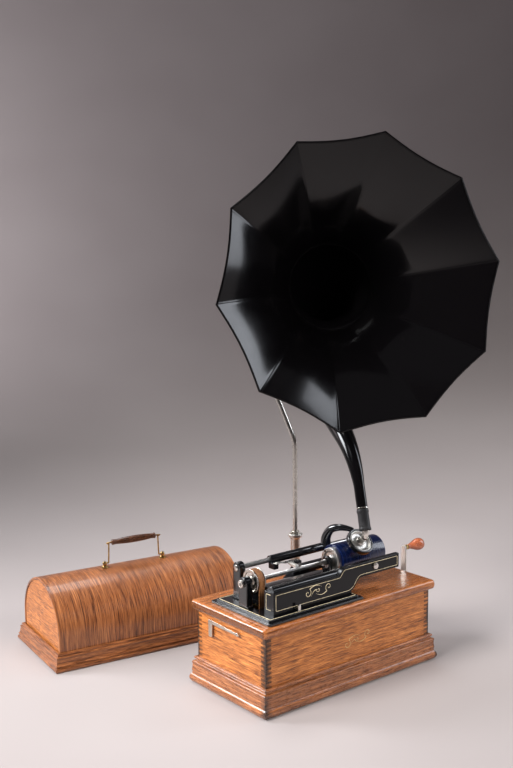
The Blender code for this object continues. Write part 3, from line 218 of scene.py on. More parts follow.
def wood(name, grain, tones, end_axis=None, rough=0.30, coat=0.25, fine=1.7, relief=0.25, warp=0.0030,
         grime=()):
    """Varnished oak. grain is the coordinates' scale, small along the fibres; tones run dark to light."""
    made, tree, shader, coords = start(name, Coat_Weight=coat, Coat_Roughness=0.12)
    drift = add(tree, "TexNoise", {"Vector": coords, "Scale": 11.0, "Detail": 2.0}).outputs["Color"]
    moved = add(tree, "VectorMath", {0: drift, 1: (-0.5, -0.5, -0.5)}, operation="ADD").outputs["Vector"]
    moved = add(tree, "VectorMath", {0: moved, "Scale": warp * 2}, operation="SCALE").outputs["Vector"]
    moved = add(tree, "VectorMath", {0: coords, 1: moved}, operation="ADD").outputs["Vector"]
    fibres = stretch(tree, moved, grain)
    coarse = noise(tree, fibres, 210 * fine, 3, 0.6, 0.2)
    streak = noise(tree, fibres, 520 * fine, 3, 0.62, 0.1)
    long_fibres = stretch(tree, moved, [g * (0.45 if g < 0.5 else 1.3) for g in grain])
    pores = mask(tree, noise(tree, long_fibres, 760 * fine, 2, 0.6), 0.50, 0.66)
    blend = maths(tree, "ADD", maths(tree, "MULTIPLY", coarse, 0.45), maths(tree, "MULTIPLY", streak, 0.55))
    dark, mid, light = tones
    colour = ramp(tree, blend, (0.35, dark), (0.47, mid), (0.63, light))
    colour = mix(tree, maths(tree, "MULTIPLY", pores, 0.40), colour, [c * 0.45 for c in dark])
    clouds = ramp(tree, noise(tree, coords, 9, 2), (0.30, (0.82, 0.78, 0.74)), (0.62, (1.10, 1.06, 1.02)))
    colour = mix(tree, 0.8, colour, clouds, "MULTIPLY")
    if end_axis is not None:
        normal = add(tree, "TexCoord").outputs["Normal"]
        part = add(tree, "SeparateXYZ", {0: normal}).outputs[end_axis]
        ends = mask(tree, maths(tree, "ABSOLUTE", part), 0.70, 0.90)
        dots = ramp(tree, noise(tree, coords, 700, 3), (0.35, [c * 0.22 for c in dark]),
                    (0.65, [c * 0.75 for c in mid]))
        colour = mix(tree, ends, colour, dots)
    rubbed = maths(tree, "MULTIPLY", edges(tree, 0.0016), mask(tree, noise(tree, coords, 60, 3), 0.38, 0.62))
    colour = mix(tree, maths(tree, "MULTIPLY", rubbed, 0.75), colour, [c * 0.45 for c in dark])
    blotch = noise(tree, coords, 140, 3)
    for x, y, radius in grime:
        level = stretch(tree, coords, (1, 1, 0))
        away = add(tree, "VectorMath", {0: level, 1: (x, y, 0)}, operation="DISTANCE")
        ragged = noise(tree, coords, 34, 4, 0.7)
        reach = maths(tree, "ADD", away.outputs["Value"], maths(tree, "MULTIPLY", blotch, radius * 1.2))
        reach = maths(tree, "ADD", reach, maths(tree, "MULTIPLY", ragged, radius * 2.4))
        dirt = maths(tree, "MULTIPLY", mask(tree, reach, radius * 3.2, radius * 2.0), 0.93)
        colour = mix(tree, dirt, colour, (0.010, 0.006, 0.004))
    uneven = maths(tree, "ADD", maths(tree, "MULTIPLY", streak, 0.6), maths(tree, "MULTIPLY", blotch, 0.4))
    join(tree, shader, Base_Color=colour, Roughness=scaled(tree, uneven, rough - 0.12, rough + 0.22))
    height = maths(tree, "SUBTRACT", maths(tree, "MULTIPLY", streak, 0.6),
                   maths(tree, "MULTIPLY", pores, 0.6))
    bumped(tree, shader, height, relief, 0.0006)
    return made


def black_enamel(name, rough=0.10, tint=(0.0030, 0.0032, 0.0040), dust=0.3, coat=0.12, shine=0.30):
    made, tree, shader, coords = start(name, Coat_Weight=coat, Coat_Roughness=0.05, Specular_IOR_Level=shine)
    smears = noise(tree, coords, 26, 5, 0.6, 0.6)
    specks = mask(tree, noise(tree, coords, 900, 2), 0.70, 0.78)
    thin = maths(tree, "MULTIPLY", edges(tree, 0.0008), mask(tree, noise(tree, coords, 120, 2), 0.50, 0.70))
    colour = mix(tree, maths(tree, "MULTIPLY", specks, dust), tint, (0.10, 0.095, 0.09))
    colour = mix(tree, maths(tree, "MULTIPLY", thin, 0.5), colour, (0.06, 0.055, 0.05))
    join(tree, shader, Base_Color=colour, Roughness=scaled(tree, smears, rough, rough + 0.16))
    bumped(tree, shader, noise(tree, coords, 420, 2), 0.03, 0.0004)
    return made


def metal(name, tone, rough=0.22, tarnish=(0.22, 0.15, 0.08), amount=0.5, brushed=(1, 1, 1), relief=0.06):
    made, tree, shader, coords = start(name, Metallic=1.0)
    fine_lines = noise(tree, stretch(tree, coords, brushed), 900, 3)
    patches = mask(tree, noise(tree, coords, 95, 5, 0.65), 0.46, 0.74)
    crevice = edges(tree, 0.0012, 0.90, 0.45)
    dull = maths(tree, "MULTIPLY", maths(tree, "MAXIMUM", patches, maths(tree, "MULTIPLY", crevice, 0.7)),
                 amount)
    colour = mix(tree, dull, tone, tarnish)
    uneven = maths(tree, "ADD", maths(tree, "MULTIPLY", fine_lines, 0.5),
                   maths(tree, "MULTIPLY", patches, 0.5))
    join(tree, shader, Base_Color=colour, Roughness=scaled(tree, uneven, rough - 0.06, rough + 0.30))
    bumped(tree, shader, fine_lines, relief, 0.0002)
    return made


def celluloid():
    """Deep blue, with the fine groove running round it and a painted highlight: paler blue on the rounded
    edges at each end.
    """
    made, tree, shader, coords = start("celluloid_grooved", Coat_Weight=0.5, Coat_Roughness=0.06)
    across = add(tree, "SeparateXYZ", {0: coords}).outputs[2]
    groove = maths(tree, "SINE", maths(tree, "MULTIPLY", across, 2 * pi / 0.00065))
    bands = noise(tree, stretch(tree, coords, (0.02, 0.02, 1)), 260, 4, 0.7)
    colour = ramp(tree, bands, (0.35, (0.0008, 0.0030, 0.018)), (0.55, (0.0014, 0.0055, 0.032)),
                  (0.75, (0.003, 0.010, 0.055)))
    # Painted highlight: the rounded edges at both ends are mixed towards a paler blue.
    rim = mask(tree, edges(tree, 0.0012), 0.3, 0.9)
    colour = mix(tree, maths(tree, "MULTIPLY", rim, 0.6), colour, (0.02, 0.05, 0.13))
    join(tree, shader, Base_Color=colour, Roughness=scaled(tree, bands, 0.16, 0.36))
    bumped(tree, shader, groove, 0.10, 0.0002)
    return made


def belt_leather():
    made, tree, shader, coords = start("belt_leather_worn")
    cracks = noise(tree, stretch(tree, coords, (0.5, 0.5, 1)), 900, 4, 0.7)
    lines = noise(tree, stretch(tree, coords, (0.03, 0.03, 1)), 620, 3)
    colour = ramp(tree, maths(tree, "MULTIPLY", maths(tree, "ADD", cracks, lines), 0.5),
                  (0.38, (0.035, 0.014, 0.006)), (0.52, (0.16, 0.065, 0.024)), (0.64, (0.40, 0.20, 0.085)))
    join(tree, shader, Base_Color=colour, Roughness=scaled(tree, cracks, 0.38, 0.7))
    bumped(tree, shader, cracks, 0.4, 0.0004)
    return made


def rubber():
    made, tree, shader, coords = start("rubber_sleeve", Base_Color=(0.012, 0.012, 0.013, 1))
    grain = noise(tree, coords, 500, 4)
    bloom = mask(tree, noise(tree, coords, 60, 3), 0.45, 0.75)
    colour = mix(tree, maths(tree, "MULTIPLY", bloom, 0.35), (0.010, 0.010, 0.011), (0.045, 0.045, 0.048))
    join(tree, shader, Base_Color=colour, Roughness=scaled(tree, grain, 0.32, 0.62))
    bumped(tree, shader, grain, 0.15, 0.0003)
    return made


def gilding(name, bright, rubbed_away):
    made, tree, shader, coords = start(name, Metallic=0.25)
    rubbed = mask(tree, noise(tree, coords, 240, 4, 0.7), 0.44, 0.64)
    colour = mix(tree, maths(tree, "MULTIPLY", rubbed, 0.6), bright, rubbed_away)
    join(tree, shader, Base_Color=colour, Roughness=scaled(tree, rubbed, 0.34, 0.6))
    return made


# Oak tones, dark to light
GOLDEN = ((0.050, 0.013, 0.003), (0.310, 0.098, 0.020), (0.640, 0.250, 0.066))
DECK_TONES = ((0.100, 0.028, 0.007), (0.270, 0.086, 0.022), (0.430, 0.165, 0.050))
DULL = ((0.060, 0.018, 0.006), (0.210, 0.070, 0.022), (0.430, 0.170, 0.062))
REDDISH = ((0.026, 0.008, 0.003), (0.175, 0.056, 0.018), (0.390, 0.155, 0.056))
# Where dirt gathers: x, y and how far it reaches
CORNERS = ((-WALL_X, -WALL_Y, 0.010), (WALL_X, -WALL_Y, 0.0045), (-WALL_X, WALL_Y, 0.004))
FOOT_CORNERS = ((-0.207, -0.105, 0.010), (0.208, -0.106, 0.004))

OAK_X = wood("oak_walls_long", (0.055, 1, 1), GOLDEN, 0, grime=CORNERS)
OAK_Y = wood("oak_walls_short", (1, 0.055, 1), GOLDEN, 1, grime=CORNERS)
FOOT_X_OAK = wood("oak_moulding_long", (0.05, 1, 1), DULL, 0, rough=0.24, coat=0.6, grime=FOOT_CORNERS)
FOOT_Y_OAK = wood("oak_moulding_short", (1, 0.05, 1), DULL, 1, rough=0.24, coat=0.6, grime=FOOT_CORNERS)
OAK_DECK = wood("oak_deck", (0.05, 1, 1), DECK_TONES, 0, rough=0.20, coat=0.6, relief=0.15)
LID_ROUND = wood("lid_oak_dome", (1, 0.035, 0.035), REDDISH, rough=0.32, coat=0.35, fine=1.9, relief=0.40,
                 warp=0.002)
LID_END = wood("lid_oak_ends", (1, 0.06, 1), GOLDEN, rough=0.34, warp=0.006)
LID_LONG = wood("lid_oak_long", (0.05, 1, 1), REDDISH, 0, rough=0.32)
LID_SHORT = wood("lid_oak_short", (1, 0.05, 1), REDDISH, 1, rough=0.32)
KNOB_WOOD = wood("knob_wood", (1, 1, 0.10), ((0.14, 0.035, 0.015), (0.32, 0.085, 0.036), (0.48, 0.15, 0.07)),
                 rough=0.20, coat=0.7, fine=1.6, relief=0.1)
GRIP_WOOD = wood("grip_wood", (0.10, 1, 1), ((0.016, 0.007, 0.004), (0.045, 0.017, 0.009),
                                             (0.10, 0.04, 0.02)),
                 rough=0.22, coat=0.6, fine=1.6, relief=0.1)
BLACK = black_enamel("japan_black")
GLOSS = black_enamel("japan_gloss", 0.08, dust=0.15, coat=0.9, shine=0.5)
HORN_BLACK = black_enamel("horn_black", 0.06, (0.0016, 0.0014, 0.0017), 0.10, 0.06, 0.34)
NICKEL = metal("nickel_plate", (0.80, 0.75, 0.66), 0.26, (0.42, 0.34, 0.24), 0.35)
BRIGHT = metal("nickel_bright", (0.86, 0.83, 0.77), 0.20, (0.45, 0.38, 0.28), 0.2)
SATIN = metal("nickel_satin", (0.86, 0.84, 0.79), 0.38, (0.50, 0.44, 0.36), 0.2)
CRANE_NICKEL = metal("nickel_crane", (0.80, 0.77, 0.71), 0.24, (0.42, 0.36, 0.27), 0.22)
STEEL = metal("steel_bar", (0.60, 0.59, 0.57), 0.26, (0.26, 0.20, 0.14), 0.35)
BRASS = metal("brass_aged", (0.62, 0.42, 0.17), 0.26, (0.16, 0.08, 0.03), 0.6)
BELT = belt_leather()
BLUE = celluloid()
RUBBER = rubber()
GOLD = gilding("gold_line", (0.86, 0.74, 0.50), (0.36, 0.28, 0.15))
WORN_GOLD = gilding("gold_worn", (0.55, 0.40, 0.18), (0.22, 0.12, 0.04))


# ------------------------------------------------------------------ modelling helpers

def placed(name, mesh):
    made = bpy.data.objects.new(name, mesh)
    SCENE.collection.objects.link(made)
    return made


def from_bmesh(bm, name):
    bmesh.ops.recalc_face_normals(bm, faces=bm.faces)
    mesh = bpy.data.meshes.new(name)
    bm.to_mesh(mesh)
    bm.free()
    return placed(name, mesh)


def baked(obj, transform=None):
    """The object as a plain welded mesh, its modifiers applied."""
    bpy.context.view_layer.update()
    mesh = bpy.data.meshes.new_from_object(obj.evaluated_get(bpy.context.evaluated_depsgraph_get()))
    name, world = obj.name, obj.matrix_world.copy()
    bpy.data.objects.remove(obj, do_unlink=True)
    bm = bmesh.new()
    bm.from_mesh(mesh)
    bmesh.ops.remove_doubles(bm, verts=bm.verts, dist=2e-6)
    bmesh.ops.dissolve_degenerate(bm, edges=bm.edges, dist=1e-7)
    if transform:
        bmesh.ops.transform(bm, matrix=transform, verts=bm.verts)
    made = from_bmesh(bm, name)
    made.matrix_world = world
    return made


def smooth(obj, angle=35, weighted=False):
    obj.data.shade_smooth()
    obj.data.set_sharp_from_angle(angle=radians(angle))
    if weighted:
        obj.modifiers.new("weighted", "WEIGHTED_NORMAL").keep_sharp = True
    return obj


def softened(points, radius, steps=3, closed=True):
    """The outline with its corners rounded."""
    points = [Vector(p) for p in points]
    count = len(points)
    outline = []
    for i, corner in enumerate(points):
        before, after = points[i - 1] - corner, points[(i + 1) % count] - corner
        if (not closed and i in (0, count - 1)) or before.angle(after) > radians(165):
            outline.append(corner)
            continue
        reach = min(radius, before.length * 0.45, after.length * 0.45)
        a, b = corner + before.normalized() * reach, corner + after.normalized() * reach
        for step in range(steps + 1):
            t = step / steps
            outline.append((1 - t) ** 2 * a + 2 * t * (1 - t) * corner + t * t * b)
    return [tuple(p) for p in outline]


def arc(cu, cv, ru, rv, first, last, steps):
    turns = [radians(first + (last - first) * i / steps) for i in range(steps + 1)]
    return [(cu + ru * cos(a), cv + rv * sin(a)) for a in turns]


def circle(u, v, radius, sides=32):
    """A clockwise ring of points, as a hole in a slab needs."""
    turns = [2 * pi * i / sides for i in range(sides)]
    return [(u + radius * cos(a), v - radius * sin(a)) for a in turns]


def rounded(points, count=8):
    """A smooth curve through the points (Catmull-Rom)."""
    points = [Vector(p) for p in points]
    padded = [2 * points[0] - points[1], *points, 2 * points[-1] - points[-2]]
    route = []
    for a, b, c, d in zip(padded, padded[1:], padded[2:], padded[3:]):
        for i in range(count):
            t = i / count
            route.append(0.5 * (2 * b + (c - a) * t + (2 * a - 5 * b + 4 * c - d) * t * t
                                + (3 * b - a - 3 * c + d) * t * t * t))
    return [*route, points[-1]]


def lathe(name, profile, place, steps=64, closed=False, angle=35):
    """A profile of (radius, height) turned about the place's Z axis. A closed one makes a bored piece."""
    bm = bmesh.new()
    rings = []
    turns = [2 * pi * i / steps for i in range(steps)]
    for radius, height in profile:
        if radius < 1e-7:
            rings.append([bm.verts.new((0, 0, height))] * steps)
        else:
            rings.append([bm.verts.new((radius * cos(a), radius * sin(a), height)) for a in turns])
    for lower, upper in zip(rings, rings[1:] + (rings[:1] if closed else [])):
        for i in range(steps):
            j = (i + 1) % steps
            face = list(dict.fromkeys((lower[i], lower[j], upper[j], upper[i])))
            if len(face) > 2:
                bm.faces.new(face)
    made = from_bmesh(bm, name)
    made.matrix_world = place
    return smooth(made, angle)


def along_x(x, y, z):
    return Matrix.Translation((x, y, z)) @ AXIS_X


def along(origin, axis):
    return Matrix.Translation(origin) @ Vector(axis).to_track_quat("Z", "Y").to_matrix().to_4x4()


def slab(name, outlines, thickness, place, edge=0.0006, steps=2):
    """A flat piece with softened edges: outlines anticlockwise, holes clockwise."""
    curve = bpy.data.curves.new(name, "CURVE")
    curve.dimensions = "2D"
    curve.fill_mode = "BOTH"
    curve.extrude = thickness / 2 - edge
    curve.bevel_depth = edge
    curve.bevel_resolution = steps
    curve.offset = -edge
    for outline in outlines:
        spline = curve.splines.new("POLY")
        spline.points.add(len(outline) - 1)
        for point, (u, v) in zip(spline.points, outline):
            point.co = (u, v, 0, 1)
        spline.use_cyclic_u = True
    made = placed(name, curve)
    made.matrix_world = place
    return smooth(baked(made), 50, True)


def tube(name, points, radius, radii=None, resolution=6, closed=False):
    """A round rod along the points; radii are factors on its radius, point by point."""
    curve = bpy.data.curves.new(name, "CURVE")
    curve.dimensions = "3D"
    curve.bevel_depth = radius
    curve.bevel_resolution = resolution
    curve.use_fill_caps = True
    spline = curve.splines.new("POLY")
    spline.points.add(len(points) - 1)
    for i, point in enumerate(points):
        spline.points[i].co = (*point, 1)
        spline.points[i].radius = radii[i] if radii else 1
    spline.use_cyclic_u = closed
    return smooth(baked(placed(name, curve)), 60)


def block(name, x0, x1, y0, y1, z0, z1, edge=0.001, segments=3):
    bm = bmesh.new()
    bmesh.ops.create_cube(bm, size=1)
    for vert in bm.verts:
        vert.co = Vector(((x0 + x1) / 2 + vert.co.x * (x1 - x0), (y0 + y1) / 2 + vert.co.y * (y1 - y0),
                          (z0 + z1) / 2 + vert.co.z * (z1 - z0)))
    made = from_bmesh(bm, name)
    bevel = made.modifiers.new("edge", "BEVEL")
    bevel.width = edge
    bevel.segments = segments
    return smooth(baked(made), 50, True)


def carved(obj, cutter):
    modifier = obj.modifiers.new("cut", "BOOLEAN")
    modifier.operation = "DIFFERENCE"
    modifier.object = cutter
    modifier.solver = "EXACT"
    made = baked(obj)
    bpy.data.objects.remove(cutter, do_unlink=True)
    return smooth(made, 50, True)


def fit(obj, mat, body, slot, *nodes):
    obj.data.materials.clear()
    obj.data.materials.append(mat)
    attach(obj, body)
    if nodes:
        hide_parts(*nodes)
    return obj


def paint(mat, *names):
    """A better material, and softened edges, on CAD nodes that keep their shape."""
    for name in names:
        node = NODES[name]
        for slot in node.material_slots:
            slot.material = mat
        bevel = node.modifiers.new("softened", "BEVEL")
        bevel.width = 0.0003
        bevel.segments = 2
        bevel.limit_method = "ANGLE"
        bevel.angle_limit = radians(40)


def screw_head(name, centre, axis, radius, mat, body, slot, turn=0.0):
    """A domed, slotted screw head standing on its centre along the axis."""
    profile = [(0, radius * 0.55), *arc(0, 0, radius, radius * 0.55, 78, 12, 5), (radius, 0), (0, 0)]
    place = along(centre, axis) @ Matrix.Rotation(turn, 4, "Z")
    head = lathe(name, profile, place, 28)
    cutter = block("slot_cutter", -radius * 1.3, radius * 1.3, -radius * 0.13, radius * 0.13,
                   radius * 0.30, radius * 0.9, 0.00001, 1)
    cutter.matrix_world = place
    return fit(carved(head, cutter), mat, body, slot)


# ------------------------------------------------------------------ case

def moulding(name, profile, turns, reach, half, mat, slot, node, place=Matrix.Identity(4), body="case"):
    """A mitred strip along one side, from a profile of (outward from the wall, height)."""
    bm = bmesh.new()
    ends = []
    for sign in (-1, 1):
        ends.append([bm.verts.new((sign * (half + out - MITRE_GAP), -(reach + out), z)) for out,
                     z in profile])
    count = len(profile)
    for i in range(count):
        j = (i + 1) % count
        bm.faces.new((ends[0][i], ends[0][j], ends[1][j], ends[1][i]))
    for ring in ends:
        bm.faces.new(ring)
    made = from_bmesh(bm, name)
    made.data.transform(Matrix.Rotation(turns * pi / 2, 4, "Z"))
    made.matrix_world = place
    return fit(smooth(made, 32), mat, body, slot, node)


def sides_of(half_x, half_y):
    """The four sides of a box: name, quarter turns from the front, distance of the side, half its length."""
    return [("front", 0, half_y, half_x), ("right", 1, half_x, half_y), ("back", 2, half_y, half_x),
            ("left", 3, half_x, half_y)]


def build_case():
    paint(OAK_X, "case_front_board", "case_back_board", "bottom_board")
    paint(OAK_Y, "case_left_board", "case_right_board")
    deck = block("deck_board_bullnosed", -DECK_X, DECK_X, -DECK_Y, DECK_Y, DECK_Z0, DECK_Z1, DECK_NOSE, 7)
    x0, x1, y0, y1 = DECK_OPENING
    deck = carved(deck, block("opening", x0, x1, y0, y1, DECK_Z0 - 0.01, DECK_Z1 + 0.01, 0.0001, 1))
    fit(deck, OAK_DECK, "case", "oak", "deck_board")
    # The moulding from the floor up: roll, cove, bead, small cove and rounded top.
    roll = arc(0.0050, 0.0088, 0.0073, 0.0088, -84, 60, 12)
    profile = [(0.0003, 0), (0.0040, 0), *roll, (0.0083, 0.0183), (0.0080, 0.0196), (0.0080, 0.0205),
               *arc(0.0102, 0.0330, -0.0024, -0.0110, 60, 0, 6), (0.0078, 0.0352), (0.0085, 0.0362),
               *arc(0.0058, 0.0386, 0.0028, 0.0020, -20, 80, 6), (0.0050, 0.0407),
               *arc(0.0058, 0.0432, -0.0030, -0.0024, 75, -40, 6),
               *arc(0.0030, 0.0464, 0.0028, 0.0025, -55, 88, 8),
               (0.0003, MOULDING_TOP)]
    for side, turns, reach, half in sides_of(WALL_X, WALL_Y):
        mat = FOOT_Y_OAK if turns % 2 else FOOT_X_OAK
        moulding("base_moulding_run_" + side, profile, turns, reach, half, mat, "oak",
                 "base_moulding_" + side)
    bush = softened([(0.0125, 0.003), (0.0125, 0), (0.0085, 0), (0.0085, -0.012), (0.0045, -0.012),
                     (0.0045, 0.003)], 0.0012)
    fit(lathe("winding_bush_turned", bush, along_x(WALL_X + 0.0003, CRANK_Y, CRANK_Z), 48, True), NICKEL,
        "case",
        "nickel", "winding_bush")
    build_ornament()
    build_catch()


def scroll(size, turns, tail):
    """A spiral that unwinds into a tail, as (u, v, width) with the spiral's eye at the origin."""
    points = []
    spiral_steps, tail_steps = 44, 24
    for i in range(spiral_steps + 1):
        t = i / spiral_steps
        a = 2 * pi * turns * t
        radius = size * (0.10 + 0.90 * t)
        points.append((radius * cos(a), radius * sin(a), 0.35 + 0.9 * t * (1.2 - t)))
    u, v, _ = points[-1]
    for i in range(1, tail_steps + 1):
        t = i / tail_steps
        points.append((u + tail[0] * t, v + tail[1] * t + size * 0.55 * sin(pi * t), 0.92 * (1 - t) + 0.12))
    return points


def flourish(name, centre, size, angle, mirror, thickness, y, mat):
    """One flattened scroll stroke on a face at y, centred on (x, z)."""
    strokes = scroll(size, 1.15, (size * 3.4, -size * 0.4))
    turned_to = Matrix.Rotation(angle, 2)
    route, widths = [], []
    for u, v, width in strokes:
        flat = turned_to @ Vector((u * mirror, v))
        route.append(Vector((centre[0] + flat.x, y, centre[1] + flat.y)))
        widths.append(width)
    made = tube(name, route, thickness, widths, 2)
    flattened = Matrix.Scale(SCROLL_FLATNESS, 4, (0, 1, 0))
    made.data.transform(Matrix.Translation((0, y, 0)) @ flattened @ Matrix.Translation((0, -y, 0)))
    return fit(made, mat, "case", "brass")


def build_ornament():
    """Generic gilt scrollwork, on the case's front and on the mechanism's front panel."""
    rise = 0.16
    y = -WALL_Y - 0.00005
    flourish("case_scroll_left", (-0.012, 0.0800), 0.0085, rise, 1, 0.0009, y, WORN_GOLD)
    flourish("case_scroll_right", (0.038, 0.0900), 0.0080, rise + pi, 1, 0.0009, y, WORN_GOLD)
    flourish("case_scroll_middle", (0.012, 0.0845), 0.0048, rise + 0.5, -1, 0.0007, y, WORN_GOLD)
    y = PANEL_Y0 - 0.00005
    flourish("panel_scroll_left", (-0.090, 0.1860), 0.0080, 0.10, 1, 0.0009, y, GOLD)
    flourish("panel_scroll_right", (-0.042, 0.1885), 0.0076, 0.10 + pi, 1, 0.0009, y, GOLD)
    flourish("panel_scroll_middle", (-0.066, 0.1880), 0.0046, 0.6, -1, 0.0008, y, GOLD)


def build_catch():
    x = -WALL_X
    outline = softened([(-0.030, 0.1228), (-0.026, 0.1212), (-0.018, 0.1222), (0.0465, 0.1225),
                        (0.0470, 0.0990),
                        (0.0565, 0.0980), (0.0575, 0.1290), (0.0450, 0.1290), (-0.018, 0.1262),
                        (-0.026, 0.1268),
                        (-0.030, 0.1252)], 0.0022)
    leaf = slab("lid_catch_leaf", [outline], 0.0014, along_x(x - 0.0045, 0, 0), 0.0004)
    fit(leaf, NICKEL, "catch", "nickel", "lid_catch")
    post = [(0.0026, 0), (0.0022, 0.0008), (0.0022, 0.0040), (0, 0.0040), (0, 0)]
    fit(lathe("lid_catch_post", post, along((x - 0.0002, -0.024, 0.124), (-1, 0, 0)), 24), NICKEL, "catch",
        "nickel")
    screw_head("lid_catch_screw", (x - 0.0050, -0.024, 0.124), (-1, 0, 0), 0.0026, BRIGHT, "catch", "nickel",
               0.7)


# ------------------------------------------------------------------ bedplate

def s_curve(x0, z0, x1, z1, steps=12):
    return [(x0 + (x1 - x0) * i / steps, z0 + (z1 - z0) * (i / steps) ** 2 * (3 - 2 * i / steps))
            for i in range(steps + 1)]


def rectangle(x0, x1, y0, y1, radius, hole=False):
    outline = softened([(x0, y0), (x1, y0), (x1, y1), (x0, y1)], radius, 4)
    return outline[::-1] if hole else outline


def build_bedplate():
    slot = rectangle(*BELT_SLOT, 0.002, True)
    for name, inset, low, high in (("bedplate_foot", 0, BED_Z0, FOOT_TOP),
                                   ("bedplate_step", 0.0065, STEP_Z0, BED_Z1)):
        outline = rectangle(BED_X0 + inset, BED_X1 - inset, BED_Y0 + inset, BED_Y1 - inset, 0.004)
        plate = slab(name, [outline, slot], high - low, Matrix.Translation((0, 0, (low + high) / 2)), 0.0011,
                     3)
        fit(plate, GLOSS, "case", "black_japan", "bedplate")
    lower = s_curve(PANEL_X1, 0.1690, 0.0365, RAIL_Z0)
    upper = s_curve(-0.018, PANEL_TOP, -0.003, RAIL_Z1)
    outline = [(PANEL_X0, PANEL_Z0), (PANEL_X1, PANEL_Z0), *lower, (RAIL_X1, RAIL_Z0), (RAIL_X1, RAIL_Z1),
               *upper[::-1], (PANEL_X0, PANEL_TOP)]
    place = Matrix.Translation((0, (PANEL_Y0 + PANEL_Y1) / 2, 0)) @ FACING_FRONT
    panel = slab("bedplate_front_panel", [outline], PANEL_Y1 - PANEL_Y0, place, 0.0011, 3)
    lever_slot = block("lever_slot", BRAKE_X - 0.0050, BRAKE_X + 0.0135, PANEL_Y0 - 0.01, PANEL_Y1 + 0.01,
                       0.1637, 0.1705,
                       0.0001, 1)
    fit(carved(panel, lever_slot), BLACK, "case", "black_japan", "bedplate")
    housing = block("bedplate_housing", PANEL_X0 + 0.0003, PANEL_X1 - 0.0005, PANEL_Y1 - 0.0035, BOX_Y1,
                    PANEL_Z0,
                    PANEL_TOP - 0.0003, 0.0016, 4)
    inside = block("inside", PANEL_X0 + 0.004, PANEL_X1 - 0.004, PANEL_Y1 - 0.01, BOX_Y1 - 0.004, 0.150,
                   PANEL_TOP - 0.004,
                   0.0001, 1)
    fit(carved(housing, inside), BLACK, "case", "black_japan", "bedplate")
    platform = block("bedplate_platform", PLATFORM_X0, BED_X1 - 0.001, BOX_Y1 - 0.002, PLATFORM_Y1, PANEL_Z0,
                     PLATFORM_Z, 0.0016, 4)
    fit(platform, BLACK, "case", "black_japan", "bedplate")
    rear = [(-0.035, PANEL_Z0), (0.012, PANEL_Z0), *s_curve(0.012, 0.164, 0.034, 0.176, 8),
            (REAR_ARM_X1, 0.176),
            (REAR_ARM_X1, REAR_ARM_TOP), (REAR_ARM_HORN_X, REAR_ARM_TOP), (REAR_ARM_HORN_X, 0.190),
            *s_curve(-0.010, 0.190, -0.035, 0.172, 8)]
    place = Matrix.Translation((0, REAR_ARM_Y, 0)) @ FACING_FRONT
    arm = slab("bedplate_rear_arm", [rear], REAR_ARM_T, place, 0.0016, 3)
    fit(arm, BLACK, "case", "black_japan", "bedplate")
    lug = softened([(0.0088, 0), (0.0088, 0.011), (ROD_R, 0.011), (ROD_R, 0)], 0.0012)
    fit(lathe("bedplate_rod_lug", lug, along_x(REAR_ARM_HORN_X, ROD_Y, ROD_Z), 40, True), BLACK, "case",
        "black_japan", "bedplate")
    cover = [(BOX_Y1 - 0.0010, 0.1990), *arc(-0.0640, 0.2000, 0.0100, 0.0085, 0, 180, 20), (-0.0740, 0.1990)]
    cover = slab("bedplate_round_cover", [cover], 0.172, along_x(-0.0740, 0, 0), 0.0010, 3)
    fit(cover, GLOSS, "case", "black_japan", "bedplate")
    hood = [(0.0180, 0.1770), *arc(-0.0175, 0.1778, 0.0355, 0.0130, 0, 180, 28), (-0.0530, 0.1770)]
    hood = slab("bedplate_motor_hood", [hood], 0.142, along_x(-0.0600, 0, 0), 0.0012, 3)
    fit(hood, GLOSS, "case", "black_japan", "bedplate")
    build_stripes()


def stripe(name, route, radius=0.00055, closed=True):
    return fit(tube(name, route, radius, resolution=2, closed=closed), GOLD, "case", "brass")


def build_stripes():
    y = PANEL_Y0 + 0.00035
    inset = 0.0046
    lower = [(x, z + 0.0058) for x, z in s_curve(PANEL_X1 - inset * 0.6, 0.1665, 0.0365, RAIL_Z0 - 0.0010)]
    upper = [(x - 0.0002, z - inset) for x, z in s_curve(-0.0165, PANEL_TOP, -0.0015, RAIL_Z1)]
    outline = [(PANEL_X0 + inset, 0.1706), (PANEL_X1 - inset * 0.6 - 0.004, 0.1706), *lower,
               (RAIL_X1 - inset, RAIL_Z0 + inset),
               (RAIL_X1 - inset, RAIL_Z1 - inset), *upper[::-1], (PANEL_X0 + inset, PANEL_TOP - inset)]
    outline = softened(outline, 0.0018, 3)
    stripe("pinstripe_panel", [(x, y, z) for x, z in outline])
    x = PANEL_X0 + 0.00005
    front, back, low, high = PANEL_Y0 + 0.0055, BOX_Y1 - 0.006, 0.1705, 0.1975
    side = softened([(front, low), (back, low), (back, high), (front, high)], 0.002, 3)
    stripe("pinstripe_left", [(x + 0.0006, yy, z) for yy, z in side])
    z = BED_Z1 - 0.00035
    border = rectangle(BED_X0 + 0.0105, BED_X1 - 0.0105, BED_Y0 + 0.0105, BED_Y1 - 0.0105, 0.003)
    stripe("pinstripe_foot", [(xx, yy, z) for xx, yy in border], 0.0007)


# ------------------------------------------------------------------ bearings and rods

def post(name, node, x0, x1, y, axis_z, width, base_z, bore):
    """A cast post: a round head about its bore, straight sides and a spreading foot."""
    half = width / 2
    outline = [(y + half + 0.003, base_z), (y + half + 0.003, base_z + 0.0025),
               *arc(y + half + 0.0045, base_z + 0.0070, -0.0045, -0.0045, 75, 0, 5),
               *arc(y, axis_z, half, half, 0, 180, 24),
               *arc(y - half - 0.0045, base_z + 0.0070, 0.0045, -0.0045, 0, 75, 5),
               (y - half - 0.003, base_z + 0.0025),
               (y - half - 0.003, base_z)]
    made = slab(name, [outline, circle(y, axis_z, bore)], x1 - x0, along_x((x0 + x1) / 2, 0, 0), 0.0018, 4)
    return fit(made, GLOSS, "case", "black_japan", node)


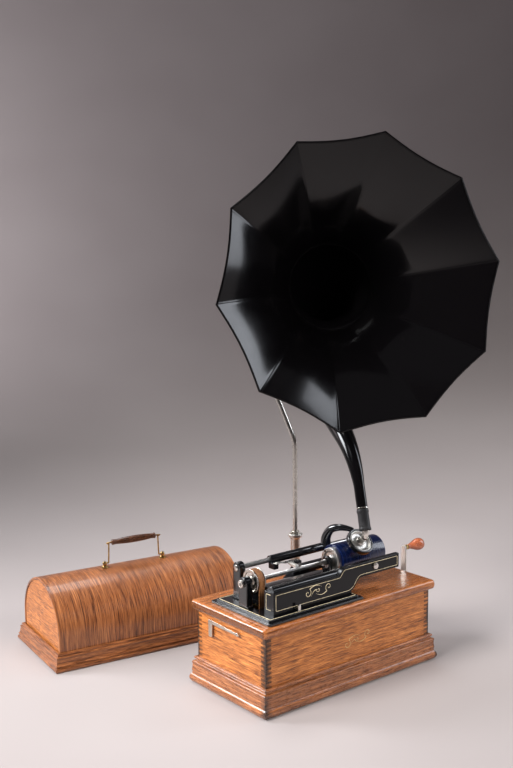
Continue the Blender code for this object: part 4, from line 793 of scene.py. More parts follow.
def build_bearings():
    post("shaft_post_cast", "shaft_post_left", *SHAFT_POST_X, MANDREL_Y, MANDREL_Z, 0.022, BED_Z1, SHAFT_BORE)
    post("rod_post_cast", "rod_post_left", *ROD_POST_X, ROD_Y, ROD_Z, 0.021, BED_Z1, ROD_BORE)
    post("centre_bearing_cast", "centre_bearing", *CENTRE_BEARING_X, MANDREL_Y, MANDREL_Z, 0.020, PLATFORM_Z,
         SHAFT_BORE)
    rod = softened([(0, 0), (ROD_R, 0), (ROD_R, ROD_L), (0, ROD_L)], 0.0008, 3, False)
    fit(lathe("back_rod_ground", rod, along_x(ROD_X0, ROD_Y, ROD_Z), 40), STEEL, "case", "steel", "back_rod")
    cap = [(0, 0.0022), (0.0036, 0.0018), (0.0055, 0.0009), (0.0060, 0), (0, 0)]
    fit(lathe("back_rod_cap", cap, along((ROD_X0, ROD_Y, ROD_Z), (-1, 0, 0)), 36), BRIGHT, "case", "nickel")
    nut = softened([(0.0030, 0), (0.0068, 0), (0.0068, 0.0052), (0.0030, 0.0052)], 0.0010)
    nut = lathe("shaft_end_nut", nut, along((-0.1778, MANDREL_Y, MANDREL_Z), (-1, 0, 0)), 44, True)
    fit(nut, BRIGHT, "case", "nickel")
    y = PANEL_Y0
    head = [(0, 0.0040), (0.0032, 0.0040), (0.0042, 0.0036), (0.0056, 0.0034), (0.0060, 0.0026),
            (0.0060, 0.0004), (0.0056, 0), (0, 0)]
    fit(lathe("rail_screw_turned", head, along((0.0718, y, 0.2030), (0, -1, 0)), 48), BRIGHT, "case",
        "nickel", "rail_screw")


def build_brake_lever():
    x, front = BRAKE_X, PANEL_Y0 - 0.008
    bar = block("brake_lever_bar", x - 0.003, x + 0.003, front, BRAKE_Y + 0.005, BRAKE_Z0, BRAKE_Z1, 0.0007)
    fit(bar, BRIGHT, "brake", "nickel", "brake_lever")
    tab = block("brake_lever_tab", x - 0.0031, x + 0.0031, front - 0.0005, front + 0.0025, 0.1629, 0.1740,
                0.0010)
    fit(tab, BRIGHT, "brake", "nickel")
    pin = softened([(0, 0.1660), (0.0025, 0.1660), (0.0025, BRAKE_PIN_TOP), (0, BRAKE_PIN_TOP)], 0.0006, 3,
                   False)
    fit(lathe("brake_lever_pin", pin, Matrix.Translation((x, BRAKE_Y, 0)), 28), STEEL, "brake", "nickel")


# ------------------------------------------------------------------ mandrel, record, belt, crank

def build_mandrel():
    y, z = MANDREL_Y, MANDREL_Z
    axis = along_x(0, y, z)
    shell = softened([(0.0236, MANDREL_X0), (0.0236, 0.0330), (0.0230, 0.0332), (0.0224, MANDREL_X1),
                      (MANDREL_WALL_R, MANDREL_X1), (MANDREL_WALL_R, 0.052), (MANDREL_BOSS_R, 0.048),
                      (MANDREL_BOSS_R, 0.060), (SHAFT_BORE, 0.060), (SHAFT_BORE, MANDREL_X0),
                      (0.0080, MANDREL_X0), (0.0090, 0.0285), (0.0165, 0.0290), (0.0180, MANDREL_X0)], 0.0007)
    fit(lathe("mandrel_drum", shell, axis, 96, True), SATIN, "mandrel_unit", "nickel", "mandrel")
    peg = [(0, 0.0004), (0.0020, 0.0003), (0.0022, 0), (0, 0)]
    fit(lathe("mandrel_peg", peg, along((MANDREL_X0, y + 0.0140, z + 0.0150), (-1, 0, 0)), 20), BLACK,
        "mandrel_unit", "nickel")
    thread = []
    for i in range(THREAD_TURNS):
        x = THREAD_X0 + i * THREAD_PITCH
        thread += [(SCREW_R, x), (SCREW_R, x + THREAD_PITCH * 0.35), (THREAD_ROOT, x + THREAD_PITCH * 0.5),
                   (THREAD_ROOT, x + THREAD_PITCH * 0.85)]
    collars = softened([(SCREW_R, 0.0066), (0.0055, 0.0066), (0.0055, 0.0096), (0.0043, 0.0100),
                        (0.0043, 0.0112),
                        (0.0055, 0.0116), (0.0055, 0.0136), (SCREW_R, 0.0140)], 0.0005, 2, False)
    bar = [(0, SCREW_X0 - 0.0050), (0.0026, SCREW_X0 - 0.0050), (0.0029, SCREW_X0 - 0.0040),
           (SCREW_R, SCREW_X0 + 0.0020), (SCREW_R, -0.1400), *thread, (SCREW_R, 0.0010), *collars,
           (SCREW_R, 0.1290), (0.0030, 0.1320), (0, SCREW_X1)]
    fit(lathe("feed_screw_cut", bar, axis, 36, angle=50), STEEL, "mandrel_unit", "steel", "feed_screw")
    x0, x1, rim = PULLEY_X0, PULLEY_X1, PULLEY_R + PULLEY_FLANGE
    wheel = softened([(rim, x0), (rim, x0 + 0.0016), (PULLEY_R, x0 + 0.0024), (PULLEY_R, x1 - 0.0024),
                      (rim, x1 - 0.0016), (rim, x1),
                      (0.0150, x1), (0.0080, x1 - 0.004), (0.0080, x1), (SHAFT_BORE, x1),
                      (SHAFT_BORE, x0 - 0.0012), (0.0080, x0 - 0.0012),
                      (0.0085, x0 + 0.0020), (0.0160, x0 + 0.0020), (0.0175, x0)], 0.0006)
    fit(lathe("mandrel_pulley_turned", wheel, axis, 72, True), BRIGHT, "mandrel_unit", "nickel",
        "mandrel_pulley")
    shell = softened([(RECORD_R, RECORD_X0), (RECORD_R, RECORD_X1), (RECORD_BORE, RECORD_X1),
                      (RECORD_BORE, RECORD_X0)], 0.0009)
    fit(lathe("cylinder_record_moulded", shell, axis, 128, True), BLUE, "record", "blue_celluloid",
        "cylinder_record")


def build_belt():
    def loop(radius, hole=False):
        outline = [*arc(MANDREL_Y, MANDREL_Z, radius, radius, 0, 180, 32),
                   *arc(DRIVE_Y, DRIVE_Z, radius, radius, 180, 360, 24)]
        return outline[::-1] if hole else outline
    inner = PULLEY_R + 0.0002
    middle = (PULLEY_X0 + PULLEY_X1) / 2
    strap = slab("drive_belt_strap", [loop(inner + BELT_T), loop(inner, True)], BELT_WIDTH,
                 along_x(middle, 0, 0), 0.0004)
    fit(strap, BELT, "case", "belt_leather", "drive_belt")


def build_crank():
    knob_z = CRANK_Z + CRANK_L
    outline = [*arc(CRANK_Y, knob_z, 0.0052, 0.0052, 0, 180, 20),
               *arc(CRANK_Y, CRANK_Z, 0.0080, 0.0080, 180, 360, 24)]
    arm = slab("crank_arm_forged", [outline], CRANK_T, along_x(CRANK_X + CRANK_T / 2, 0, 0), 0.0010, 3)
    fit(arm, SATIN, "crank", "nickel", "crank_arm")
    hub = softened([(0, 0), (0.0068, 0), (0.0068, 0.0065), (0.0050, 0.0067), (0, 0.0067)], 0.0012, 3, False)
    fit(lathe("crank_hub", hub, along_x(CRANK_X + CRANK_T / 2, CRANK_Y, CRANK_Z), 40), BRIGHT, "crank",
        "nickel")
    shaft = softened([(0, -0.0060), (0.0040, -0.0060), (0.0040, CRANK_X), (0, CRANK_X)], 0.0006, 3, False)
    fit(lathe("winding_shaft_turned", shaft, along_x(0, CRANK_Y, CRANK_Z), 32), STEEL, "crank", "steel")
    face = CRANK_X + CRANK_T
    pin = [(0, face + 0.0002), (0.0050, face + 0.0002), (0.0054, face + 0.0010), (0.0046, face + 0.0022),
           (0.0044, face + 0.0060),
           (0.0050, face + 0.0070), (KNOB_PIN_R, face + 0.0073), (KNOB_PIN_R, face + 0.0488),
           (0.0034, face + 0.0488), (0.0030, face + 0.0495),
           (0, face + 0.0497)]
    fit(lathe("knob_ferrule", pin, along_x(0, CRANK_Y, knob_z), 40), BRASS, "crank", "nickel", "knob_pin")
    start_x = face + 0.0078
    outer = [(0.0042, 0), (0.0050, 0.0008), (0.0048, 0.0030), (0.0055, 0.0075), (0.0075, 0.0140),
             (0.0100, 0.0205), (0.0116, 0.0262),
             (0.0119, 0.0305), (0.0113, 0.0350), (0.0094, 0.0387), (0.0062, 0.0407), (0.0030, KNOB_L)]
    curve = [(p.x, start_x + p.y) for p in rounded([(r, h, 0) for r, h in outer], 4)]
    knob = lathe("crank_knob_turned", curve + [(0.0024, start_x + KNOB_L), (0.0024, start_x)],
                 along_x(0, CRANK_Y, knob_z), 56, True)
    fit(knob, KNOB_WOOD, "knob", "turned_hardwood", "crank_knob")


# ------------------------------------------------------------------ carriage

def build_carriage():
    sleeve = softened([(SLEEVE_R, SLEEVE_X0), (SLEEVE_R, SLEEVE_X1), (SLEEVE_BORE, SLEEVE_X1),
                       (SLEEVE_BORE, SLEEVE_X0)], 0.0012, 4)
    fit(lathe("carriage_sleeve", sleeve, along_x(0, ROD_Y, ROD_Z), 48, True), GLOSS, "carriage",
        "black_japan", "carriage_arm")
    route = rounded([(0.050, 0.0280, 0.2215), (0.050, 0.0262, 0.2380), (0.0515, 0.0155, 0.2540),
                     (0.0555, -0.0020, 0.2608),
                     (0.0620, -0.0150, 0.2608), (0.0668, -0.0215, 0.2590), (0.0690, -0.0245, 0.2570)], 8)
    count = len(route)
    sizes = [1.95 - 1.0 * min(1, i / (count * 0.7)) for i in range(count)]
    fit(tube("carriage_arch", route, ARCH_R, sizes, 8), GLOSS, "carriage", "black_japan", "carriage_arm")
    ring = softened([(0.0250, 0.0040), (0.0258, 0.0028), (0.0262, -0.0045), (EYE_R + 0.0002, -0.0045),
                     (EYE_R + 0.0002, 0.0040)], 0.0008)
    fit(lathe("carriage_eye", ring, along(EYE, EYE_AXIS), 80, True), GLOSS, "carriage", "black_japan",
        "carriage_arm")
    fit(block("carriage_block", -0.0900, -0.0790, 0.0105, 0.0270, 0.2060, 0.2172, 0.0014), BLACK, "carriage",
        "black_japan",
        "carriage_arm")
    outline = softened([(-0.0895, 0.2175), (-0.0760, 0.2175), (-0.0690, 0.2150), (-0.0345, 0.2150),
                        (-0.0345, 0.2162),
                        (-0.0688, 0.2162), (-0.0758, 0.2187), (-0.0895, 0.2187)], 0.0020)
    strip = slab("half_nut_leaf", [outline], 0.009, Matrix.Translation((0, LEAF_Y, 0)) @ FACING_FRONT, 0.0003)
    fit(strip, BRIGHT, "carriage", "nickel", "half_nut_spring")
    screw_head("half_nut_screw", (-0.0845, LEAF_Y, 0.2186), (0, 0, 1), 0.0030, BRIGHT, "carriage", "nickel",
               0.9)
    nut = slab("half_nut_bar", [softened([(-0.0142, 0.2092), (-0.0075, 0.2092), (0.0055, 0.2112),
                                          (0.0135, 0.2147),
                                          (0.0055, 0.2149), (-0.0120, 0.2145)], 0.0008)], NUT_T,
               along_x(NUT_X, 0, 0), 0.0006)
    fit(nut, SATIN, "carriage", "brass", "half_nut")
    fit(block("half_nut_pad", -0.0520, -0.0327, 0.0015, 0.0115, 0.2100, 0.2148, 0.0008), BLACK, "carriage",
        "black_japan")
    build_reproducer()


def build_reproducer():
    place = along(EYE, EYE_AXIS)
    face = [(0.0050, 0.0002), (0.0066, 0.0012), (0.0082, 0.0004), (0.0120, -0.0010), (0.0165, -0.0004),
            (0.0188, 0.0016),
            (0.0196, 0.0032), (0.0212, 0.0034), (0.0222, 0.0026)]
    curve = [(p.x, p.y) for p in rounded([(r, h, 0) for r, h in face], 4)]
    profile = [(0, 0.0002), *curve, (EYE_R, 0.0016), (EYE_R, -0.0066), (0.0220, -0.0070), (0, -0.0070)]
    fit(lathe("reproducer_housing", profile, place, 80), SATIN, "carriage", "nickel", "reproducer")
    stem = horn_direction(STEM_TILT)
    route = rounded([EYE, EYE + EYE_AXIS * 0.008, (0.0702, -0.0545, 0.2515), HORN, HORN + stem * 0.008], 8)
    fit(tube("reproducer_elbow", route, ELBOW_R, None, 8), BRIGHT, "carriage", "nickel", "reproducer")
    collar = softened([(0.0063, 0), (0.0080, 0), (0.0084, 0.0012), (0.0070, 0.0030), (0.0063, 0.0030)],
                      0.0005)
    fit(lathe("reproducer_collar", collar, along(EYE + EYE_AXIS * 0.0005, EYE_AXIS), 48, True), BRIGHT,
        "carriage", "nickel")
    for i in range(3):
        turn = radians(50 + 120 * i)
        spot = place @ Vector((0.0176 * cos(turn), 0.0176 * sin(turn), 0.0008))
        screw_head("reproducer_screw_%d" % i, spot, EYE_AXIS, 0.0014, STEEL, "carriage", "nickel", turn)
    under = EYE - EYE_AXIS * 0.0073
    weight = softened([(0, 0.0042), (0.0128, 0.0042), (0.0150, 0.0026), (0.0150, 0), (0, 0)], 0.0007, 3,
                      False)
    fit(lathe("stylus_weight_turned", weight, along(under, -EYE_AXIS), 56), BRIGHT, "weight", "nickel",
        "stylus_weight")
    needle = [(0, 0.0115), (0.0004, 0.0110), (0.0011, 0.0080), (0.0016, 0.0040), (0, 0.0038)]
    fit(lathe("stylus_bar", needle, along(under, -EYE_AXIS), 20), STEEL, "weight", "nickel")


# ------------------------------------------------------------------ horn

def horn_direction(tilt):
    return HORN_BACK * sin(tilt) + Vector((0, 0, cos(tilt)))


def horn_axis(s):
    """The centre line at a length s from the small end: a point and its tilt from upright, backwards."""
    origin = HORN.copy()
    steps = ((STEM_L, STEM_TILT, STEM_TILT), (BEND_R * (NECK_TILT - STEM_TILT), STEM_TILT, NECK_TILT),
             (NECK_L, NECK_TILT, NECK_TILT), (SWAN_R * (NECK_TILT - MOUTH_TILT), NECK_TILT, MOUTH_TILT),
             (BELL_L, MOUTH_TILT, MOUTH_TILT))
    for length, first, last in steps:
        part = min(s, length)
        tilt = first + (last - first) * part / length
        if first == last:
            origin = origin + horn_direction(first) * part
        else:
            radius = length / (last - first)
            rise = Vector((0, 0, sin(tilt) - sin(first)))
            origin = origin + radius * (HORN_BACK * (cos(first) - cos(tilt)) + rise)
        s -= part
        if s <= 0:
            break
    return origin, tilt


def horn_radius(s):
    """A straight pipe, then a cone, then the bell's flare on top of the cone."""
    flare = max(0.0, (s - FLARE_S) / (HORN_L - FLARE_S)) ** FLARE_POWER
    cone = PIPE_R + TAPER * max(0.0, s - TAPER_S)
    return cone + (BELL_R - PIPE_R - TAPER * (HORN_L - TAPER_S)) * flare


def horn_frame(s):
    """The centre at a length s, and the direction square to the centre line, in the horn's upright plane."""
    centre, tilt = horn_axis(s)
    return centre, Vector((0, 0, sin(tilt))) - HORN_BACK * cos(tilt)


def horn_ring(s, inset=0.0, seam=0.0):
    """A panelled ring. seam is the height of the standing seams, inwards."""
    centre, up = horn_frame(s)
    hollow = 0.072 * min(1, max(0, (s - BELL_S) / (0.45 * BELL_L)))
    points = []
    for panel in range(PANELS):
        for step in PANEL_STEPS:
            a = PANEL_PHASE + 2 * pi * (panel + (step + 1) / 2) / PANELS
            radius = horn_radius(s) * (1 - hollow * (1 - step * step)) - inset
            radius -= seam * (1 if abs(step) > 0.98 else 0.35 if abs(step) > 0.96 else 0)
            points.append(centre + HORN_SIDE * (radius * cos(a)) + up * (radius * sin(a)))
    return points


def sheet_loft(name, outer, inner, angle):
    """A thin shell between outer and inner rings, closed round both ends."""
    bm = bmesh.new()
    rings = [[bm.verts.new(p) for p in ring] for ring in [*outer, *inner[::-1]]]
    for lower, upper in zip(rings, rings[1:] + rings[:1]):
        count = len(lower)
        for i in range(count):
            j = (i + 1) % count
            bm.faces.new((lower[i], lower[j], upper[j], upper[i]))
    return smooth(from_bmesh(bm, name), angle)


def build_horn():
    steps = 44
    stations = [BELL_S + JOINT_GAP + (BELL_L - 0.0013) * (i / steps) ** 0.95 for i in range(steps + 1)]
    seams = [0.0009 * min(1, max(0, (s - BELL_S - 0.02) / 0.05)) for s in stations]
    outer = [horn_ring(s, 0.0) for s in stations]
    inner = [horn_ring(s, SHEET_T, seam) for s, seam in zip(stations, seams)]
    fit(sheet_loft("horn_bell_sheet", outer, inner, 24), HORN_BLACK, "horn", "black_japan", "horn_bell")
    rim = horn_ring(HORN_L - RIM_R, RIM_R)
    fit(tube("horn_rim_roll", rim, RIM_R, None, 4, True), HORN_BLACK, "horn", "black_japan")
    first, last = CONNECTOR_L + JOINT_GAP, BELL_S - JOINT_GAP
    sides, steps = 64, 96
    outer, inner = [], []
    for i in range(steps + 1):
        s = first + (last - first) * i / steps
        centre, up = horn_frame(s)
        for rings, inset in ((outer, 0.0), (inner, SHEET_T)):
            radius = horn_radius(s) - inset
            turns = [2 * pi * j / sides for j in range(sides)]
            rings.append([centre + HORN_SIDE * (radius * cos(a)) + up * (radius * sin(a)) for a in turns])
    fit(sheet_loft("horn_neck_sheet", outer, inner, 40), HORN_BLACK, "horn", "black_japan", "horn_neck")
    build_horn_rings()
    stem = horn_direction(STEM_TILT)
    sleeve = softened([(0.0080, 0.0012), (0.0106, 0.0012), (0.0114, 0.0020), (0.0114, 0.0052),
                       (0.0106, 0.0066), (0.0104, 0.0330),
                       (0.0112, 0.0345), (0.0112, 0.0385), (0.0104, CONNECTOR_L), (0.0080, CONNECTOR_L)],
                       0.0006)
    fit(lathe("horn_connector_sleeve", sleeve, along(HORN, stem), 48, True), RUBBER, "horn", "rubber",
        "horn_connector")
    build_hanger()


def ring_at(name, s, width, height, mat):
    """A band round the horn at a length s from its small end."""
    centre, tilt = horn_axis(s)
    radius = horn_radius(s)
    profile = softened([(radius - 0.0002, -width / 2), (radius + height, -width / 2),
                        (radius + height, width / 2),
                        (radius - 0.0002, width / 2)], min(width, height) * 0.4)
    return fit(lathe(name, profile, along(centre, horn_direction(tilt)), 72, True), mat, "horn",
               "black_japan")


def build_horn_rings():
    ring_at("horn_neck_ferrule", CONNECTOR_L + 0.0022, 0.0020, 0.0005, BRIGHT)
    ring_at("horn_joint_band", BELL_S - 0.0045, 0.0060, 0.0006, HORN_BLACK)


def build_hanger():
    turn = NECK_TILT - HANGER_TILT
    seat_s = STEM_L + BEND_R * (NECK_TILT - STEM_TILT) + NECK_L + SWAN_R * turn

    def seat(s):
        centre, tilt = horn_axis(s)
        return centre + (HORN_BACK * cos(tilt) - Vector((0, 0, sin(tilt)))) * (horn_radius(s) + 0.0002)
    foot = seat(seat_s) + Vector((0, 0, 0.0045))
    soles = [seat(seat_s + ds) - foot for ds in (0.007, 0, -0.005)]
    base = [(sole.dot(HORN_BACK), sole.z) for sole in soles]
    spot = Matrix.Translation(foot) @ Matrix((HORN_BACK, (0, 0, 1), HORN_SIDE)).transposed().to_4x4()
    eye = [*base, *arc(0, HANGER_EYE_Z, 0.0065, 0.0065, -10, 190, 28)]
    lug = slab("horn_hanger_lug", [eye, circle(0, HANGER_EYE_Z, 0.0035)], HANGER_T, spot, 0.0006)
    fit(lug, HORN_BLACK, "horn", "black_japan", "horn_hanger")
    hole = foot + Vector((0, 0, HANGER_EYE_Z))
    steps = 20
    coil_z0, coil_z1 = hole.z + 0.020, BAR_Z - 0.034
    hook = [(0.0045, 0.0085), (0.0050, 0.0015), (0.0030, -0.0012), (0, -0.0018), (-0.0030, -0.0010),
            (-0.0050, 0.0020),
            (-0.0045, 0.0090)]
    route = rounded([hole + HORN_SIDE * u + Vector((0, 0, v)) for u, v in hook], 4)
    for i in range(COIL_TURNS * steps + 1):
        a = pi + 2 * pi * i / steps
        height = coil_z0 + (coil_z1 - coil_z0) * i / (COIL_TURNS * steps)
        route.append(Vector((hole.x + COIL_R * cos(a), hole.y + COIL_R * sin(a), height)))
    top, width, low = BAR_Z + 0.0063, 0.0150, BAR_Z - 0.022
    stirrup = [(-0.004, coil_z1 + 0.004), (-width, low), (-width, top - 0.003), (-width + 0.003, top),
               (width - 0.003, top), (width, top - 0.003), (width, low), (0.006, BAR_Z - 0.027)]
    route += rounded([Vector((hole.x, BAR_Y + dy, z)) for dy, z in stirrup], 4)
    fit(tube("suspension_spring_coil", route, COIL_WIRE_R, None, 3), STEEL, "horn", "steel",
        "suspension_spring")


# ------------------------------------------------------------------ crane

def build_crane():
    def at(p, q, z):
        return Vector((HORN.x, HORN.y, z)) + HORN_SIDE * p + HORN_BACK * q
    base = Vector((CRANE_X, CRANE_Y, 0))
    # Up from the socket, leaning over to the second bend, up again and forward along the level bar.
    corner = at(-0.150, 0.235, 0.600)
    lean = Vector((corner.x - base.x, corner.y - base.y, 0))
    route = [base + Vector((0, 0, 0.084)), base + Vector((0, 0, 0.300)), base + Vector((0, 0, 0.380))]
    route += rounded([base + Vector((0, 0, 0.392)), base + lean * 0.020 + Vector((0, 0, 0.408)),
                      base + lean * 0.110 + Vector((0, 0, 0.430)), base + lean * 0.5 + Vector((0, 0, 0.509)),
                      corner + Vector((0, 0, -0.010)), corner + Vector((0, 0, 0.020))], 8)
    route += rounded([corner + Vector((0, 0, 0.180)), Vector((corner.x + 0.003, corner.y - 0.003, 0.815)),
                      Vector((corner.x + 0.022, BAR_Y + 0.008, BAR_Z - 0.004)),
                      Vector((corner.x + 0.055, BAR_Y, BAR_Z))], 8)
    route += rounded([Vector((0.120, BAR_Y, BAR_Z)), Vector((BAR_X1 - 0.008, BAR_Y, BAR_Z)),
                      Vector((BAR_X1, BAR_Y, BAR_Z + 0.003)), Vector((BAR_X1 + 0.002, BAR_Y, BAR_Z + 0.012))],
                      6)
    fit(tube("crane_rod_drawn", route, CRANE_ROD_R, None, 7), CRANE_NICKEL, "crane", "nickel", "crane_rod")
    z = SOCKET_TOP + 0.0063
    place = Matrix.Translation((CRANE_X, CRANE_Y, 0))
    ring = softened([(0.0080, z), (0.0080, z + 0.0050), (0.0048, z + 0.0050), (0.0048, z)], 0.0009)
    fit(lathe("crane_collar_ring", ring, place, 48, True), NICKEL, "crane", "nickel", "crane_collar")
    nub = softened([(0, 0), (0.0017, 0), (0.0017, 0.0042), (0, 0.0042)], 0.0004, 3, False)
    fit(lathe("crane_collar_nub", nub, along((CRANE_X - 0.0070, CRANE_Y, z + 0.0025), (-1, 0, 0)), 20),
        NICKEL, "crane", "nickel")
    top = SOCKET_TOP + 0.006
    tube_profile = softened([(0.0136, top), (0.0136, SOCKET_TOP - 0.0002), (0.0104, SOCKET_TOP - 0.0012),
                             (0.0095, SOCKET_TOP - 0.004),
                             (0.0095, 0.085), (0.007, 0.080), (0.0050, 0.080), (0.0050, top)], 0.0010)
    fit(lathe("crane_socket_tube", tube_profile, place, 56, True), SATIN, "case", "nickel", "crane_socket")
    for side in (-1, 1):
        spot = (CRANE_X + side * 0.0100, CRANE_Y, top - 0.0004)
        screw_head("crane_socket_nub_%s" % ("left", "right")[side > 0], spot, (0, 0, 1), 0.0022, NICKEL,
                   "case",
                   "nickel", 0.4 * side)
    half, low, high = 0.018, 0.074, 0.130
    foot = softened([(CRANE_X - half, low), (CRANE_X + half, low), (CRANE_X + half, high),
                     (CRANE_X - half, high)],
                    0.004, 5)
    against_wall = Matrix.Translation((0, WALL_Y + 0.0019, 0)) @ FACING_FRONT
    foot = slab("crane_socket_foot", [foot], 0.0032, against_wall, 0.0006)
    fit(foot, NICKEL, "case", "nickel", "crane_socket")
    web = block("crane_socket_web", CRANE_X - 0.006, CRANE_X + 0.006, WALL_Y + 0.002, CRANE_Y - 0.007, 0.088,
                0.120, 0.0010)
    fit(web, NICKEL, "case", "nickel", "crane_socket")
    for i, (dx, z) in enumerate(((-0.012, 0.080), (0.012, 0.080), (-0.012, 0.124), (0.012, 0.124))):
        spot = (CRANE_X + dx, WALL_Y + 0.0035, z)
        screw_head("crane_foot_screw_%d" % i, spot, (0, 1, 0), 0.0028, BRASS, "case", "nickel", i * 0.8)


# ------------------------------------------------------------------ lid

def dome(half, side_z, top_z, low_z, steps=48):
    """Straight sides up to side_z, then half an ellipse over the top."""
    return [(half, low_z), *arc(0, side_z, half, top_z - side_z, 0, 180, steps), (-half, low_z)]


def build_lid():
    profile = [(0.0003, 0.0040), (-0.0070, 0.0040), (-0.0070, 0.0003), (0.0100, 0.0003),
               *arc(0.0098, 0.0042, 0.0025, 0.0038, -80, 80, 8),
               (0.0090, 0.0094), (0.0088, 0.0106), *arc(0.0122, 0.0210, -0.0044, -0.0100, 75, 0, 6),
               (0.0070, 0.0232),
               *arc(0.0046, 0.0262, 0.0032, 0.0026, -35, 80, 7), (0.0044, 0.0296),
               *arc(0.0028, 0.0318, 0.0026, 0.0021, -50, 88, 6),
               (0.0003, 0.0340)]
    for side, turns, reach, half in sides_of(LID_SHELL_X, LID_SHELL_Y):
        mat = LID_SHORT if turns % 2 else LID_LONG
        moulding("lid_moulding_run_" + side, profile, turns, reach, half, mat, "lid_oak", "lid_moulding",
                 LID_PLACE, "lid")
    outer = dome(LID_SHELL_Y, LID_SIDE_Z, LID_TOP_Z, LID_LOW)
    inner = dome(LID_SHELL_Y - LID_SHELL_T, LID_SIDE_Z, LID_TOP_Z - LID_SHELL_T, LID_LOW)
    shell = slab("lid_shell_bent", [outer + inner[::-1]], 2 * LID_SHELL_X, AXIS_X, 0.0012, 3)
    shell.data.transform(AXIS_X)
    shell.matrix_world = LID_PLACE
    fit(shell, LID_ROUND, "lid", "lid_oak", "lid_shell")
    panel = dome(LID_SHELL_Y - LID_SHELL_T - 0.0002, LID_SIDE_Z, LID_TOP_Z - LID_SHELL_T - 0.0002, LID_LOW)
    for side, name in ((-1, "left"), (1, "right")):
        end = slab("lid_end_panel_" + name, [panel], LID_END_T, Matrix.Identity(4), 0.0007)
        end.data.transform(Matrix.Translation((side * (LID_SHELL_X - 0.0050), 0, 0)) @ AXIS_X)
        end.matrix_world = LID_PLACE
        fit(end, LID_END, "lid", "lid_oak", "lid_end_" + name)
        profile = [(0, 0.0125), (0.0026, 0.0122), (0.0040, 0.0108), (0.0046, 0.0085), (0.0040, 0.0060),
                   (0.0034, 0.0044), (0.0044, 0.0030),
                   (0.0068, 0.0022), (0.0072, 0.0012), (0.0072, 0), (0, 0)]
        place = LID_PLACE @ Matrix.Translation((side * FOOT_X, 0, LID_TOP_Z))
        fit(lathe("handle_foot_cast_" + name, profile, place, 40), BRASS, "lid", "brass",
            "handle_foot_" + name)
    build_handle()


def build_handle():
    pin = FOOT_X - 0.0050
    half_route = [(pin, HANDLE_Z), (pin - 0.0020, HANDLE_Z), (pin - 0.0033, HANDLE_Z + 0.003),
                  (pin - 0.0042, GRIP_Z - 0.012),
                  (pin - 0.0048, GRIP_Z - 0.003), (pin - 0.0080, GRIP_Z)]
    route = [(-x, 0, z) for x, z in half_route] + [(x, 0, z) for x, z in half_route[::-1]]
    bail = tube("lid_bail_wire", rounded(route, 6), BAIL_R, None, 5)
    bail.matrix_world = LID_PLACE
    fit(bail, BRASS, "lid_handle", "brass", "lid_bail")
    half = GRIP_X - 0.0055
    swell = [(0.0040, -half), (0.0056, -half + 0.0012), (0.0058, -half + 0.0030), (0.0046, -half + 0.0046),
             (0.0056, -half + 0.0062),
             (0.0050, -half + 0.0085), (0.0064, -half * 0.45), (0.0069, 0), (0.0064, half * 0.45),
             (0.0050, half - 0.0085),
             (0.0056, half - 0.0062), (0.0046, half - 0.0046), (0.0058, half - 0.0030),
             (0.0056, half - 0.0012), (0.0040, half)]
    curve = [(p.x, p.y) for p in rounded([(r, h, 0) for r, h in swell], 4)]
    grip = lathe("lid_grip_turned", curve + [(0.0018, half), (0.0018, -half)], Matrix.Identity(4), 40, True)
    grip.data.transform(along_x(0, 0, GRIP_Z))
    grip.matrix_world = LID_PLACE
    fit(grip, GRIP_WOOD, "lid_handle", "turned_hardwood", "lid_grip")


def paint_motor():
    paint(BRASS, "motor_plate_left", "motor_plate_right", "spring_barrel", "governor_weights")
    paint(STEEL, "drive_arbor", "drive_pulley", "mainspring", "intermediate_gear", "governor_spindle",
          "winding_gear", "winding_shaft")


# ------------------------------------------------------------------ floor, light, camera

def build_stage():
    bm = bmesh.new()
    curve = [(STAGE_FLAT + STAGE_SWEEP * sin(radians(a)), STAGE_SWEEP - STAGE_SWEEP * cos(radians(a)))
             for a in range(3, 91, 3)]
    steps = STAGE_SIDES
    rings = []
    for r, h in ((STAGE_FLAT, 0), *curve, (STAGE_FLAT + STAGE_SWEEP, STAGE_TOP)):
        turns = [2 * pi * i / steps for i in range(steps)]
        rings.append([bm.verts.new((r * cos(a), r * sin(a), h + FLOOR_Z)) for a in turns])
    bm.faces.new(rings[0])
    for lower, upper in zip(rings, rings[1:]):
        for i in range(steps):
            j = (i + 1) % steps
            bm.faces.new((lower[i], lower[j], upper[j], upper[i]))
    floor = smooth(from_bmesh(bm, "studio_floor"), 60)
    paper, tree, shader, coords = start("pale_paper", Roughness=0.75)
    tone = ramp(tree, noise(tree, coords, 1.4, 2), (0.3, (0.31, 0.28, 0.28)), (0.7, (0.34, 0.31, 0.31)))
    join(tree, shader, Base_Color=tone)
    floor.data.materials.append(paper)


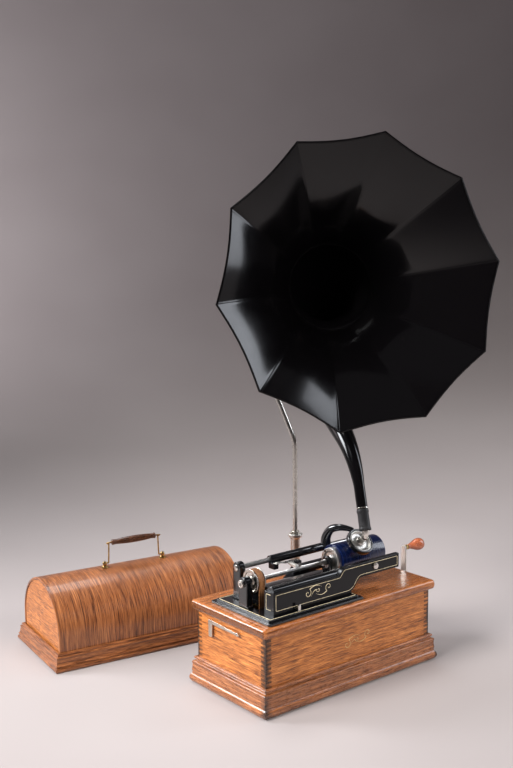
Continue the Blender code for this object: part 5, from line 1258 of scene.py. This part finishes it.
def softbox(name, place, target, width, height, power, spread, tone=PLAIN, mirrored=True):
    """A rectangular soft light, in metres, watts and degrees; mirrored says whether gloss shows it."""
    data = bpy.data.lights.new(name, "AREA")
    data.shape = "RECTANGLE"
    data.size, data.size_y = width, height
    data.energy = power
    data.spread = radians(spread)
    data.color = tone
    light = bpy.data.objects.new(name, data)
    SCENE.collection.objects.link(light)
    light.location = place
    light.visible_glossy = mirrored
    light.rotation_euler = (Vector(target) - Vector(place)).to_track_quat("-Z", "Y").to_euler()


def build_light():
    softbox("key_left", (-2.6, 0.2, 1.9), (0, 0, 0.3), 1.3, 1.7, 30, 60, (1.0, 0.97, 0.94), False)
    softbox("fill_front", (0.2, -2.9, 2.0), (0, 0, 0.2), 1.8, 1.2, 14, 65, WARM, False)
    softbox("top_back", (0.1, 1.2, 2.9), (0, 0.1, 0.2), 1.8, 1.2, 14, 90)
    softbox("strip_right", (2.1, -1.1, 1.3), (0, 0, 0.5), 0.7, 2.4, 11, 110, COOL)
    softbox("rim_back_left", (-1.8, 2.1, 1.8), (0, 0, 0.2), 0.9, 1.2, 9, 60, (0.94, 0.96, 1.0))
    softbox("backdrop_left", (-1.2, 2.0, 1.2), (0.4, 4.2, 1.3), 0.8, 0.8, 66, 140, (1.0, 0.96, 0.99), False)
    world = bpy.data.worlds.new("studio")
    SCENE.world = world
    world.use_nodes = True
    background = world.node_tree.nodes["Background"].inputs
    background["Color"].default_value = (0.54, 0.52, 0.54, 1)
    background["Strength"].default_value = 0.16


def build_camera():
    data = bpy.data.cameras.new("camera")
    data.sensor_fit = "VERTICAL"
    data.sensor_height = SENSOR_HEIGHT
    data.lens = FOCAL_LENGTH
    data.clip_end = 50
    camera = bpy.data.objects.new("camera", data)
    SCENE.collection.objects.link(camera)
    camera.matrix_world = (Matrix.Translation(CAMERA_PLACE) @ Matrix.Rotation(-CAMERA_YAW, 4, "Z")
                           @ Matrix.Rotation(pi / 2 + CAMERA_PITCH, 4, "X")
                           @ Matrix.Rotation(CAMERA_ROLL, 4, "Z"))
    SCENE.camera = camera


build_case()
build_bedplate()
build_bearings()
build_brake_lever()
build_mandrel()
build_belt()
build_crank()
build_carriage()
build_horn()
build_crane()
build_lid()
paint_motor()
build_stage()
build_light()
build_camera()
SCENE.view_settings.view_transform = "Standard"
